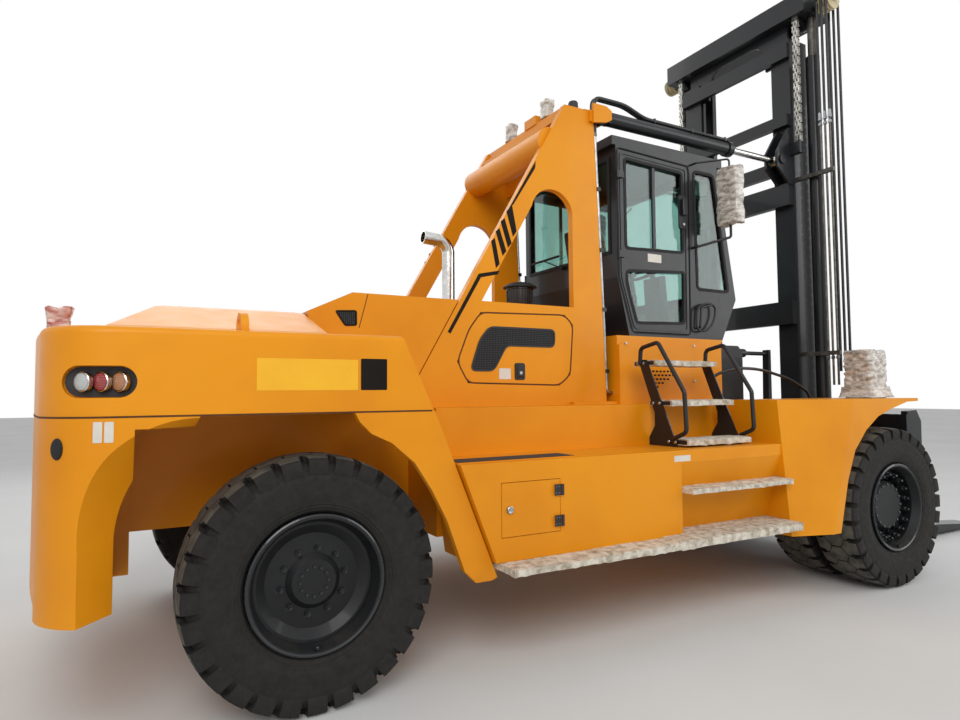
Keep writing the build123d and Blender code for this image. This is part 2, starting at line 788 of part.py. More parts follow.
def build_drive_rims():
    rim = rim_ring(wheelbase, -drive_outer_y) + rim_ring(wheelbase, -drive_inner_y)
    inside = rim_radius - 46
    y = -drive_outer_y
    spacer = turned([(110, inside), (-40, inside), (-40, inside - 30), (30, inside - 60),
                     (30, spindle_radius + fit_gap), (90, spindle_radius + fit_gap), (90, inside - 60),
                     (110, inside - 30)], wheelbase, y, wheel_radius)
    web = turned([(-110, inside), (-150, inside), (-150, inside - 40), (-135, spindle_radius + fit_gap),
                  (-110, spindle_radius + fit_gap)], wheelbase, -drive_inner_y, wheel_radius)
    hub = turned([(90, spindle_radius + fit_gap), (90, 215), (-60, 215), (-90, 190), (-90, 0),
                  (-60, 0), (-60, spindle_radius + fit_gap)], wheelbase, y, wheel_radius)
    sleeve = turned([(30, spindle_radius + fit_gap), (30, 165), (360, 165), (360, spindle_radius + fit_gap)],
                    wheelbase, y, wheel_radius)
    return rim + spacer + web + hub + sleeve


def build_steer_rim():
    y = -steer_wheel_y
    rim = rim_ring(0, y)
    inside = rim_radius - 46
    disc = turned([(60, inside), (-100, inside), (-100, inside - 20), (-60, inside - 70),
                   (-70, 150), (-100, 120), (-100, 0), (-60, 0), (-60, steer_spindle_radius + fit_gap),
                   (60, steer_spindle_radius + fit_gap), (60, 170), (0, 190), (0, inside - 60),
                   (60, inside - 30)], 0, y, wheel_radius)
    return rim + disc


steer_spindle_radius = 70


def build_steer_beam():
    mid = (steer_beam_top + steer_beam_bottom) / 2
    beam = box(-160, 160, -kingpin_y + 125, kingpin_y - 125, steer_beam_bottom, steer_beam_top)
    yoke = box(-95, 95, -kingpin_y - 95, -kingpin_y + 140, steer_beam_bottom - 35,
               steer_beam_top + 35)
    yoke -= box(-120, 120, -kingpin_y - 130, -kingpin_y + 118, mid - knuckle_half - run_gap,
                mid + knuckle_half + run_gap)
    yoke -= rod_z(0, -kingpin_y, 300, 1200, kingpin_radius + fit_gap)
    cylinder = rod_y(steer_cylinder_x, mid, -340, 340, 62) + rod_y(steer_cylinder_x, mid, -600, 600, 28)
    for y in (-300, 220):
        cylinder += box(150, steer_cylinder_x, y, y + 80, mid - 60, mid + 60)
    return beam + cylinder + yoke + other_side(yoke)


knuckle_half = 110
steer_cylinder_x = 240


def build_knuckle():
    mid = (steer_beam_top + steer_beam_bottom) / 2
    body = rod_z(0, -kingpin_y, mid - knuckle_half, mid + knuckle_half, 100)
    pin = rod_z(0, -kingpin_y, steer_beam_bottom - 45, steer_beam_top + 45, kingpin_radius)
    spindle = rod_y(0, wheel_radius, -kingpin_y, -steer_wheel_y - 50, steer_spindle_radius)
    flange = rod_y(0, wheel_radius, -kingpin_y - 60, -kingpin_y - 110, 110)
    return body + pin + spindle + flange


# Mast
def channel(x0, x1, outer, inner, wall, z0, z1):
    """A channel upright open towards the middle, on the right-hand side."""
    section = box(x0, x1, -outer, -inner, z0, z1)
    return section - box(x0 + wall, x1 - wall, -outer + wall, -inner + 1, z0 - 1, z1 + 1)


outer_beams = ((4500, 4620), (4000, 4140), (3650, 3880), (2400, 2640), (1010, 1200))
top_beam = (outer_top_z - 220, outer_top_z - 60)


def build_outer_mast():
    upright = channel(mast_rear, mast_rear + mast_depth, upright_half, upright_half - upright_flange,
                      upright_wall, mast_foot_z, outer_top_z)
    foot_ring = rod_y(wheelbase, wheel_radius, -680, -520, 275)
    foot_ring += box(wheelbase, mast_rear, -680, -520, wheel_radius - 275, wheel_radius + 275)
    foot_ring -= rod_y(wheelbase, wheel_radius, -700, -500, axle_tube_radius + fit_gap)
    foot_ring -= box(mast_rear, mast_rear + 200, -700, -500, 300, 1100)
    lug = side_plate([(mast_rear, 4000), (mast_rear, 4460), (mast_rear - 60, 4460),
                      (tilt_front - 75, tilt_z + 75), (tilt_front - 75, tilt_z - 75),
                      (mast_rear - 60, 3860), (mast_rear, 3860)], -tilt_y - 78, -tilt_y - 54)
    lug_pair = lug + Pos(0, 132, 0) * lug
    cap = rod_y(tilt_front, tilt_z, -tilt_y - 96, -tilt_y - 54, 45)
    cap += rod_y(tilt_front, tilt_z, -tilt_y + 54, -tilt_y + 96, 45)
    cylinder_foot = box(lift_x - 85, mast_rear + mast_depth, -lift_y - 60, -upright_half, 380, 430)
    anchor = box(mast_rear - 50, mast_rear + 10, -chain_y - 45, -upright_half, 4170, 4290)
    side = upright + foot_ring + lug_pair + cap + cylinder_foot + anchor
    mast = side + other_side(side)
    for low, high in outer_beams:
        mast += box(mast_rear - 70, mast_rear, -upright_half, upright_half, low, high)
    mast += box(mast_rear - 50, mast_rear, -upright_half - 10, upright_half + 10, *top_beam)
    return mast


def build_lift_cylinder():
    head = outer_top_z - 250
    barrel = rod_z(lift_x, -lift_y, 430, head, lift_barrel_radius)
    barrel -= rod_z(lift_x, -lift_y, 480, head - 80, lift_rod_radius + 5)
    barrel -= rod_z(lift_x, -lift_y, head - 100, head + 100, lift_rod_radius + fit_gap)
    return barrel


def build_lift_rod():
    return rod_z(lift_x, -lift_y, 2300, inner_top_z, lift_rod_radius)


inner_gap = run_gap
inner_flange = 36
inner_outer = upright_half - upright_wall - inner_gap


def build_inner_mast():
    x0 = mast_rear + upright_wall + inner_gap
    x1 = mast_rear + mast_depth - upright_wall - inner_gap
    web = box(x0, x1, -600, -560, inner_foot_z, inner_top_z)
    flange_rear = box(x0, x0 + inner_flange, -inner_outer, -480, inner_foot_z, inner_top_z)
    flange_front = box(x1 - inner_flange, x1, -inner_outer, -480, inner_foot_z, inner_top_z)
    side = web + flange_rear + flange_front
    mast = side + other_side(side)
    mast += box(x0, x0 + inner_flange - run_gap, -480, 480, inner_foot_z + 60, inner_foot_z + 220)
    head = box(crosshead_rear, crosshead_front, -crosshead_half, crosshead_half, inner_top_z,
               crosshead_top_z)
    slot = box(crosshead_rear + 25, crosshead_front - 10, -chain_y - 38, -chain_y + 38,
               inner_top_z - 1, crosshead_top_z - 22)
    head = head - slot - other_side(slot)
    tie = box(x0, x0 + inner_flange - run_gap, -480, 480, gusset_foot_z, inner_top_z)
    tie -= cross_plate(arch_path, x0 - 5, x0 + inner_flange)
    pin = rod_y(pulley_x, pulley_z, -chain_y - 60, -chain_y + 60, pulley_pin_radius)
    return mast + head + tie + pin + other_side(pin)


# Arched gusset between the inner uprights, under the crosshead
gusset_foot_z = inner_top_z - 390
gusset_round = 190
arch_half = 395
arch_top_z = inner_top_z - 60
arch_path = [(side * (arch_half - gusset_round * (1 - cos(turn))), arch_top_z - gusset_round * (1 - sin(turn)))
             for side, turns in ((-1, range(0, 91, 18)), (1, range(90, -1, -18)))
             for turn in [pi * degrees / 180 for degrees in turns]]
arch_path += [(arch_half, gusset_foot_z - 10), (-arch_half, gusset_foot_z - 10)]

crosshead_rear = mast_rear - 70
crosshead_front = wheelbase + 590
pulley_x = lift_x
pulley_z = inner_top_z + 30
pulley_pin_radius = 25


def build_pulley():
    wheel = rod_y(pulley_x, pulley_z, -chain_y - 31, -chain_y + 31, pulley_radius)
    return wheel - rod_y(pulley_x, pulley_z, -chain_y - 40, -chain_y + 40, pulley_pin_radius + fit_gap)


chain_anchor_z = 4290
chain_foot_z = 1480


link_half = 50
link_waist = 9
wrap_links = 6


def run_edge(x, waist, z0, z1):
    """Waisted outer edge of a straight run of links, from one height towards another."""
    steps = int(abs(z1 - z0) // link_half)
    fall = link_half if z1 > z0 else -link_half
    return [(x if step % 2 else x + waist, z0 + fall * step) for step in range(1, steps + 1)]


def build_chain():
    """One leaf chain: rear run, wrap over the pulley and front run, waisted between its pins."""
    inside = pulley_radius + fit_gap
    outside = inside + chain_thick
    turn = pi / wrap_links
    outer = [(pulley_x + outside, chain_foot_z)]
    outer += run_edge(pulley_x + outside, -link_waist, chain_foot_z, pulley_z)
    for link in range(2 * wrap_links + 1):
        radius = outside if link % 2 else outside - link_waist
        outer.append((pulley_x + radius * cos(turn * link / 2), pulley_z + radius * sin(turn * link / 2)))
    outer += run_edge(pulley_x - outside, link_waist, pulley_z, chain_anchor_z + link_half)
    outer.append((pulley_x - outside, chain_anchor_z + run_gap))
    inner = [(pulley_x - inside, chain_anchor_z + run_gap)]
    flat = inside / cos(turn / 2)
    for link in range(wrap_links, 0, -1):
        angle = turn * (link - 0.5)
        inner.append((pulley_x + flat * cos(angle), pulley_z + flat * sin(angle)))
    inner.append((pulley_x + inside, chain_foot_z))
    return side_plate(outer + inner, -chain_y - chain_width / 2, -chain_y + chain_width / 2)


# Hose reel on the crosshead and the pipes beside the mast
hose_x = lift_x
hose_z = inner_top_z + 80
hose_roller_radius = 88
hose_lines = (1010, 1060, 1110)
hose_radius = 13


def build_hose_rollers(side):
    axle = rod_y(hose_x, hose_z, side * crosshead_half, side * (hose_lines[-1] + 90), 18)
    for y in hose_lines:
        wheel = rod_y(hose_x, hose_z, side * (y - 20), side * (y + 20), hose_roller_radius)
        axle += wheel
    return axle


def build_mast_hoses():
    """Hoses that hang over the rollers, on the right-hand side."""
    reach = hose_roller_radius + hose_radius + fit_gap
    hoses = []
    for y in hose_lines:
        wrap = rod_y(hose_x, hose_z, -y - hose_radius, -y + hose_radius, reach + hose_radius)
        wrap -= rod_y(hose_x, hose_z, -y - 50, -y + 50, reach - hose_radius)
        wrap &= box(hose_x - 300, hose_x + 300, -1300, 0, hose_z, hose_z + 300)
        rear = rod_z(hose_x - reach, -y, pipe_top_z + 20, hose_z, hose_radius)
        front = rod_z(hose_x + reach, -y, 1900, hose_z, hose_radius)
        hoses.append(wrap + rear + front)
    return hoses


pipe_top_z = 4450


def build_mast_pipes():
    """Steel pipes clipped to the outer mast, under the hoses."""
    reach = hose_roller_radius + hose_radius + fit_gap
    bracket = []
    for z in (2060, 3900):
        bracket.append(box(hose_x - reach - 20, hose_x - reach + 20, -hose_lines[-1] - 30,
                           -upright_half, z, z + 40))
    pipes = bracket[0] + bracket[1]
    for y in hose_lines:
        pipes += rod_z(hose_x - reach, -y, 1760, pipe_top_z, 11)
    return pipes


# Carriage and forks
shaft_z = 1400
shaft_x = fork_shank_x + fork_thickness / 2
shaft_radius = 60
carriage_half = 1500
plate_y = (300, 360)
bar_front = fork_shank_x - run_gap
bar_rear = wheelbase + 690


def build_carriage():
    shaft = rod_y(shaft_x, shaft_z, -carriage_half, carriage_half, shaft_radius)
    top_bar = box(bar_rear, shaft_x - shaft_radius - 50, -carriage_half, carriage_half, 1300, 1470)
    low_bar = box(bar_rear, bar_front, -carriage_half, carriage_half, 300, 490)
    end_path = [(bar_rear + 20, 290), (fork_shank_x + fork_thickness, 290),
                (fork_shank_x + fork_thickness + 20, shaft_z), (shaft_x, shaft_z + 110),
                (bar_rear + 20, 1500)]
    end = side_plate(end_path, -carriage_half, -carriage_half + 60)
    carriage = shaft + top_bar + low_bar + end + other_side(end)
    main_path = [(plate_rear, 290), (bar_front, 290), (shaft_x + 60, shaft_z - 100),
                 (shaft_x + 60, shaft_z + 100), (plate_rear, 1560)]
    main = side_plate(main_path, -plate_y[1], -plate_y[0])
    for z in (420, 1430):
        main += rod_y(roller_x, z, -552, -plate_y[1] + 5, roller_radius)
    lug = box(chain_lug_x, bar_rear, -chain_y - 40, -chain_y + 40, 1380, 1460)
    lug_top = box(chain_lug_x, chain_lug_x + 24, -chain_y - 40, -chain_y + 40, 1460, 1560)
    carriage += main + other_side(main)
    carriage += lug + other_side(lug) + lug_top + other_side(lug_top)
    return carriage


roller_x = mast_rear + mast_depth / 2
roller_radius = mast_depth / 2 - upright_wall - run_gap - inner_flange - fit_gap
plate_rear = roller_x - 52
chain_lug_x = pulley_x + pulley_radius + chain_thick + run_gap


def build_fork(centre_y):
    y0 = centre_y - fork_width / 2
    y1 = centre_y + fork_width / 2
    heel = fork_shank_x
    front = heel + fork_thickness
    tip = front + fork_length
    low = fork_floor_gap
    path = [(heel, shaft_z + 90), (heel, low + 60), (heel + 60, low), (tip, low), (tip, low + 22),
            (tip - 900, low + 100), (front + 60, low + 105), (front, low + 165), (front, shaft_z + 90)]
    fork = side_plate(path, y0, y1)
    fork += rod_y(shaft_x, shaft_z, y0, y1, 100)
    fork -= rod_y(shaft_x, shaft_z, y0 - 5, y1 + 5, shaft_radius + fit_gap)
    return fork


# Tilt cylinders
def build_tilt_barrel():
    barrel = rod_x(tilt_rear + 75, tilt_gland, -tilt_y, tilt_z, tilt_barrel_radius)
    barrel += box(tilt_rear, tilt_rear + 85, -tilt_y - 45, -tilt_y + 45, tilt_z - 50, tilt_z + 50)
    barrel += rod_x(tilt_gland - 40, tilt_gland + 20, -tilt_y, tilt_z, tilt_barrel_radius + 12)
    barrel += rod_y(tilt_rear, tilt_z, -tilt_y - 45, -tilt_y + 45, 62)
    barrel -= rod_x(tilt_rear + 280, tilt_gland - 60, -tilt_y, tilt_z, tilt_rod_radius + 6)
    barrel -= rod_x(tilt_gland - 80, tilt_gland + 30, -tilt_y, tilt_z, tilt_rod_radius + fit_gap)
    barrel -= rod_y(tilt_rear, tilt_z, -tilt_y - 50, -tilt_y + 50, tilt_pin_radius + fit_gap)
    for hose in build_tilt_hoses():
        barrel += hose
    return barrel


def build_tilt_pin():
    return rod_y(tilt_rear, tilt_z, -tilt_y - 78, -tilt_y + 78, tilt_pin_radius)


def build_tilt_rod():
    rod = rod_x(tilt_gland - 540, tilt_front - 40, -tilt_y, tilt_z, tilt_rod_radius)
    eye = rod_y(tilt_front, tilt_z, -tilt_y - 45, -tilt_y + 45, 58)
    return rod + eye


# Lamps, lamp recesses and tower pipes
lamp_z = 1770
lamp_radius = 36
lamp_pitch = 78


def at_tail_corner(piece):
    """Move a piece made around the origin to the lamp place on the right tail corner."""
    return Pos(at(-1030), -body_half + 28, lamp_z) * Rot(0, 0, -12.7) * piece


def lamp_recess():
    """Stadium-shaped pocket for three round lamps, open outwards."""
    half = lamp_pitch + 6
    pocket = Box(2 * half, 100, 150)
    for end in (-half, half):
        pocket += Pos(end, 0, 0) * Rot(90, 0, 0) * Cylinder(75, 100)
    return at_tail_corner(pocket)


rear_beacon_at = (-1300, 0)


def build_rear_beacon():
    """Warning lamp on the tail end of the upper casting."""
    x, y = rear_beacon_at
    foot = box(x - 65, x + 65, y - 80, y + 80, band_top_z, band_top_z + 70)
    return fillet(foot.edges().filter_by(Axis.Z), 30) + rod_z(x, y, band_top_z + 60, band_top_z + 260, 62)


def build_tail_lamps():
    lamps = []
    for step in (-lamp_pitch, 0, lamp_pitch):
        lamp = Pos(step, 28, 0) * Rot(90, 0, 0) * Cylinder(lamp_radius, 44)
        lamps.append(at_tail_corner(lamp))
    return lamps


front_lamp_size = (280, 280, 440)
front_lamp_corner = (fender_nose - front_lamp_size[0], -1560, fender_top_z)
tower_lamp_x = 2345
tower_lamps = (-350, 250)
beacon_at = (2440, -600)


def build_front_lamps():
    """Wrapped lamp cluster on the front fender."""
    x, y, z = front_lamp_corner
    length, width, height = front_lamp_size
    cluster = box(x, x + length, y, y + width, z, z + height)
    return fillet(cluster.edges().filter_by(Axis.Z), 45)


def build_tower_lamps():
    """Two work lamps and a beacon on the tower crown."""
    lamps = []
    for y in tower_lamps:
        head = box(tower_lamp_x - 50, tower_lamp_x + 50, y - 60, y + 60, tower_top_z, tower_top_z + 180)
        lamps.append(fillet(head.edges().filter_by(Axis.Z), 25))
    x, y = beacon_at
    lamps.append(rod_z(x, y, tower_top_z, tower_top_z + 85, 42))
    return lamps


def tower_nose_x(z):
    """Station of the front edge of the tower at a height."""
    share = (z - deck_z) / (tower_top_z - deck_z)
    return tower_nose + (tower_crown[1] - tower_nose) * share


pipe_lines = (tower_half - 46, tower_half - 12)
pipe_radius = 13
pipe_head_z = 3950


def build_tower_pipes():
    pipes = []
    for y in pipe_lines:
        points = [(tower_nose_x(pipe_head_z) + 16, -y, pipe_head_z), (tower_nose_x(1700) + 16, -y, 1700),
                  (pedestal_rear, -y, 1700)]
        pipes.append(pipe(points, pipe_radius, 40))
    return pipes


def build_tilt_hoses():
    """Hoses from the tower pipes over the eye to the gland of the tilt cylinder."""
    start_x = tower_nose_x(pipe_head_z) + 16
    run_z = tilt_z + tilt_barrel_radius + pipe_radius + run_gap
    crest_z = tilt_z + 160
    hoses = []
    for y in pipe_lines:
        points = [(start_x, -y, pipe_head_z + 5), (start_x, -y, crest_z), (tilt_rear + 260, -y, crest_z),
                  (tilt_rear + 500, -y, run_z), (tilt_gland, -y, run_z)]
        hoses.append(pipe(points, pipe_radius, 75))
    return hoses


def build_all():
    save("chassis_frame", build_frame())
    save("counterweight_lower", build_counterweight_lower())
    save("counterweight_upper", build_counterweight_upper())
    save("radiator_cover", build_rear_cover())
    save("fenders", *both(build_rear_fender()), *both(build_front_fender()))
    save("side_tanks", build_side_tank(True), other_side(build_side_tank(False)))
    save("tank_door", build_tank_door())
    board, tread = build_step_boards()
    save("step_boards", board, tread, other_side(board), other_side(tread))
    plate = build_tower_plate() + build_tilt_lugs() + build_tilt_pin()
    save("tower", plate + other_side(plate) + build_tower_ties())
    save("hood", build_hood())
    save("engine_block", build_engine())
    save("exhaust_pipe", build_exhaust())
    save("air_cleaner", build_air_cleaner())
    save("cab_pedestal", build_pedestal())
    save("cab_shell", build_cab_shell())
    save("cab_roof", build_cab_roof())
    save("cab_glass", *build_cab_glass())
    save("valve_block", build_valve_block())
    save("driver_seat", build_seat())
    save("steering_console", build_console())
    save("mirrors", *both(build_mirror()))
    save("ladders", *both(build_ladder()))
    save("drive_axle", build_drive_axle())
    save("steer_beam", build_steer_beam())
    save("tail_lamps", *[piece for lamp in build_tail_lamps() for piece in both(lamp)], build_rear_beacon())
    save("front_lamps", *both(build_front_lamps()), *build_tower_lamps())
    save("tower_pipes", *[pipe for line in build_tower_pipes() for pipe in both(line)])
    save("mast_pipes", build_mast_pipes())
    save("mast_hoses", *build_mast_hoses())
    save("hose_rollers", build_hose_rollers(-1), build_hose_rollers(1))
    save("outer_mast", build_outer_mast())
    save("inner_mast", build_inner_mast())
    save("lift_barrels", *both(build_lift_cylinder()))
    save("lift_rods", *both(build_lift_rod()))
    save("chain_pulleys", *both(build_pulley()))
    save("lift_chains", *both(build_chain()))
    save("carriage", build_carriage())
    twin_tyres = [tyre_solid(wheelbase, -drive_outer_y), tyre_solid(wheelbase, -drive_inner_y)]
    sides = (("right", lambda solid: solid), ("left", other_side))
    for side, place in sides:
        sign = -1 if side == "right" else 1
        save(f"drive_tyres_{side}", *[place(tyre) for tyre in twin_tyres])
        save(f"drive_rims_{side}", place(build_drive_rims()))
        save(f"steer_tyre_{side}", place(tyre_solid(0, -steer_wheel_y)))
        save(f"steer_rim_{side}", place(build_steer_rim()))
        save(f"knuckle_{side}", place(build_knuckle()))
        save(f"engine_door_{side}", place(build_engine_door()))
        save(f"cab_door_{side}", place(build_cab_door()))
        save(f"door_glass_{side}", *[place(pane) for pane in build_door_glass()])
        save(f"tilt_barrel_{side}", place(build_tilt_barrel()))
        save(f"tilt_rod_{side}", place(build_tilt_rod()))
        save(f"fork_{side}", build_fork(sign * fork_spread / 2))


build_all()
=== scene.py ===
import json
import math

import bmesh
import bpy
from mathutils import Matrix, Vector, noise


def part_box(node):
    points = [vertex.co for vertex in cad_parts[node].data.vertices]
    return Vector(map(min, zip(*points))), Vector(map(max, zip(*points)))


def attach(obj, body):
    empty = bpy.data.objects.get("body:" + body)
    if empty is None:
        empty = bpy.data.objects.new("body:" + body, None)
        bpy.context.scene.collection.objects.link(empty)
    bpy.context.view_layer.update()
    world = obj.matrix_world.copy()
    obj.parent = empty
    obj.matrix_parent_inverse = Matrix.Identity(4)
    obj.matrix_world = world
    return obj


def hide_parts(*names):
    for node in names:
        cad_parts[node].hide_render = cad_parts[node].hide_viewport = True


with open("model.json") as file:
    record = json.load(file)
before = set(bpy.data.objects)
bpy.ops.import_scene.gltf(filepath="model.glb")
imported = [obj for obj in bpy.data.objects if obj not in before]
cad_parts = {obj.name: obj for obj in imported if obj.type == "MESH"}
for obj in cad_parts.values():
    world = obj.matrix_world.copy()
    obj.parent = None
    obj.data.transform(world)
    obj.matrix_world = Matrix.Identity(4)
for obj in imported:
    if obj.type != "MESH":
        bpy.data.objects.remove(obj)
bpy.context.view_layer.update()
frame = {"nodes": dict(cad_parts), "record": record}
sides = (("right", -1), ("left", 1))
print("frame loaded")


def middleOf(node):
    low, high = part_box(node)
    return (Vector(low) + Vector(high)) / 2


steerAxle = middleOf("steer_tyre_right").x
wheelRadius = middleOf("steer_tyre_right").z


# Places along the truck are stations in metres forward of the steer axle
def at(station):
    return steerAxle + station


def onSide(x, y, z, sign):
    # Point at a station, a distance from the middle plane and a height
    return Vector((at(x), sign * y, z))


def sideBox(x, y, z, sign=1):
    # Low and high corner of a box, from its stations, distances from the middle plane and heights
    near, far = sorted((y[0] * sign, y[1] * sign))
    return Vector((at(x[0]), near, z[0])), Vector((at(x[1]), far, z[1]))


def placed(spot, across, up, out):
    # Matrix whose three axes run along the given directions
    matrix = Matrix((across, up, out)).transposed().to_4x4()
    matrix.translation = spot
    return matrix


# Camera, resectioned from the photograph; turns in degrees
cameraFacts = {
    "place": (at(-0.9544), -5.0327, 1.7022),
    "yaw": 28.998,
    "pitch": 2.930,
    "roll": -0.4372,
    "focalPixels": 653.61,
    "imageWidth": 960,
    "sensor": 36,
    "clipEnd": 200,
}


def aimCamera():
    facts = cameraFacts
    yaw, pitch, roll = (math.radians(facts[turn]) for turn in ("yaw", "pitch", "roll"))
    forward = Vector((math.sin(yaw) * math.cos(pitch), math.cos(yaw) * math.cos(pitch), math.sin(pitch)))
    level = forward.cross(Vector((0, 0, 1))).normalized()
    over = level.cross(forward)
    right = math.cos(roll) * level + math.sin(roll) * over
    up = math.cos(roll) * over - math.sin(roll) * level
    lens = bpy.data.cameras.new("camera")
    lens.sensor_width = facts["sensor"]
    lens.lens = facts["sensor"] * facts["focalPixels"] / facts["imageWidth"]
    lens.clip_end = facts["clipEnd"]
    camera = bpy.data.objects.new("camera", lens)
    camera.matrix_world = placed(facts["place"], right, up, -forward)
    bpy.context.scene.collection.objects.link(camera)
    bpy.context.scene.camera = camera


aimCamera()


# Materials
def srgb(hexColour):
    channels = [int(hexColour[i:i + 2], 16) / 255 for i in (1, 3, 5)]
    linear = [c / 12.92 if c <= 0.04045 else ((c + 0.055) / 1.055) ** 2.4 for c in channels]
    return (*linear, 1)


def addNode(owner, kind, inputs=None, output=0, stops=(), **settings):
    # One shader node with its values, the sockets that feed it and its settings; gives back one output
    node = owner.node_tree.nodes.new("ShaderNode" + kind)
    for key, value in settings.items():
        setattr(node, key, value)
    for index, (position, colour) in enumerate(stops):
        element = node.color_ramp.elements[index]
        element.position = position
        element.color = colour if isinstance(colour, tuple) else (colour, colour, colour, 1)
    for key, value in (inputs or {}).items():
        if isinstance(value, bpy.types.NodeSocket):
            owner.node_tree.links.new(value, node.inputs[key])
        else:
            node.inputs[key].default_value = value
    return node.outputs[output] if len(node.outputs) else None


def newMaterial(name):
    material = bpy.data.materials.new(name)
    material.use_nodes = True
    material.node_tree.nodes.clear()
    return material, addNode(material, "TexCoord", output="Object")


def grain(material, place, size, detail=3, stretch=(1, 1, 1), stops=None):
    # Noise in patches of size metres, longer along an axis stretched under one; stops give it its tones
    spread = addNode(material, "Mapping", {"Vector": place, "Scale": stretch})
    level = addNode(material, "TexNoise", {
        "Vector": spread, "Scale": 1 / size, "Detail": detail, "Roughness": 0.6})
    return addNode(material, "ValToRGB", {"Fac": level}, stops=stops) if stops else level


def finishMaterial(material, colour, roughness, normal, constants):
    inputs = {"Base Color": colour, "Roughness": roughness, **constants}
    if normal:
        inputs["Normal"] = normal
    shader = addNode(material, "BsdfPrincipled", inputs)
    addNode(material, "OutputMaterial", {"Surface": shader})
    return material


def paintedMetal(name, colour, shade, dust, roughness, coat):
    # Sprayed enamel: slow drift of colour, fine orange peel, workshop dust settling on the level tops
    material, place = newMaterial(name)
    drift = grain(material, place, 0.9, stops=[(0.35, srgb(shade)), (0.62, srgb(colour))])
    normal = addNode(material, "NewGeometry", output="Normal")
    upward = addNode(material, "SeparateXYZ", {"Vector": normal}, "Z")
    level = addNode(material, "MapRange", {"Value": upward, "From Min": 0.5, "From Max": 1.0})
    fallen = grain(material, place, 0.16, 6, stops=[(0.42, 0.0), (0.75, 0.22)])
    settled = addNode(material, "Math", {0: level, 1: fallen}, operation="MULTIPLY")
    painted = addNode(material, "Mix", {"Factor": settled, 6: drift, 7: srgb(dust)}, 2, data_type="RGBA")
    gloss = grain(material, place, 0.12, 5, stops=[(0.3, roughness), (0.75, roughness + 0.1)])
    gloss = addNode(material, "Mix", {
        "Factor": settled, 6: gloss, 7: (0.7, 0.7, 0.7, 1)}, 2, data_type="RGBA")
    skin = addNode(material, "Bump", {"Height": grain(material, place, 0.004, 2), "Distance": 0.00006})
    return finishMaterial(material, painted, gloss, skin, {
        "Coat Weight": coat, "Coat Roughness": 0.08, "Specular IOR Level": 0.25})


orangeEnamel = paintedMetal("orangeEnamel", "#E9960C", "#DF8B0A", "#D6A256", 0.38, 0.08)
blackEnamel = paintedMetal("blackEnamel", "#1D1F22", "#17181B", "#77726A", 0.38, 0.25)
wheelEnamel = paintedMetal("wheelEnamel", "#1B1C1E", "#141516", "#6E675D", 0.42, 0.12)
hubEnamel = paintedMetal("hubEnamel", "#232528", "#1B1D20", "#5E5A52", 0.22, 0.5)


def dustyRubber(name, clean, dusty, most):
    # Cured rubber with a brown-grey film of floor dust
    material, place = newMaterial(name)
    film = grain(material, place, 0.09, 6, stops=[(0.35, 0.05), (0.8, most)])
    colour = addNode(material, "Mix", {"Factor": film, 6: srgb(clean), 7: srgb(dusty)}, 2, data_type="RGBA")
    rough = grain(material, place, 0.03, 4, stops=[(0.3, 0.72), (0.7, 0.92)])
    skin = addNode(material, "Bump", {"Height": grain(material, place, 0.006, 4), "Distance": 0.0006})
    return finishMaterial(material, colour, rough, skin, {"Specular IOR Level": 0.35})


tyreRubber = dustyRubber("dustyRubber", "#1A1918", "#302D29", 0.45)
wornTread = dustyRubber("wornTread", "#353430", "#6F6D63", 0.9)  # tops of the lugs, greyed by the floor


def brightMetal(name, colour, shade, roughness, stretch=(1, 1, 1), size=0.02):
    # Polished, drawn or plated steel: fine lines along the work, faint stains
    material, place = newMaterial(name)
    stains = grain(material, place, 0.07, 4, stops=[(0.35, srgb(shade)), (0.65, srgb(colour))])
    lines = grain(material, place, size, 2, stretch)
    rough = addNode(material, "ValToRGB", {"Fac": lines}, stops=[(0.3, roughness), (0.7, roughness + 0.14)])
    skin = addNode(material, "Bump", {"Height": lines, "Distance": 0.00004})
    return finishMaterial(material, stains, rough, skin, {"Metallic": 1.0})


chromePlate = brightMetal("chromePlate", "#D8D8D6", "#B9B4AE", 0.08)
drawnSteel = brightMetal("drawnSteel", "#B9BBBD", "#8E9194", 0.24, (1, 1, 0.05))
zincSteel = brightMetal("zincSteel", "#74716C", "#54514C", 0.48, (1, 1, 0.05))  # plated pipe gone dull
chainSteel = brightMetal("chainSteel", "#DAD8D0", "#A3A19A", 0.42, size=0.012)


def greasedSteel():
    # Pins dark with grease
    material, place = newMaterial("greasedSteel")
    film = grain(material, place, 0.03, 4)
    tone = addNode(material, "ValToRGB", {"Fac": film}, stops=[
        (0.35, srgb("#2B2926")), (0.7, srgb("#5A5750"))])
    rough = addNode(material, "ValToRGB", {"Fac": film}, stops=[(0.3, 0.25), (0.7, 0.5)])
    return finishMaterial(material, tone, rough, None, {"Metallic": 0.8})


greasedPin = greasedSteel()


def honeycombSteel():
    # Black expanded mesh: 14 mm cells, with painted shade in the cells behind the strands
    material, place = newMaterial("honeycombSteel")
    cells = addNode(material, "TexVoronoi", {
        "Vector": place, "Scale": 1 / 0.014, "Randomness": 0.12}, "Distance", feature="DISTANCE_TO_EDGE")
    strand = addNode(material, "ValToRGB", {"Fac": cells}, stops=[(0.10, 1.0), (0.17, 0.0)])
    # Near-black cells are painted shade; the strands keep the steel's own dark grey
    colour = addNode(material, "Mix", {
        "Factor": strand, 6: srgb("#060606"), 7: srgb("#34363A")}, 2, data_type="RGBA")
    rough = addNode(material, "ValToRGB", {"Fac": strand}, stops=[(0.0, 0.9), (1.0, 0.42)])
    skin = addNode(material, "Bump", {"Height": strand, "Distance": 0.004})
    return finishMaterial(material, colour, rough, skin, {"Metallic": 0.2})


meshSteel = honeycombSteel()


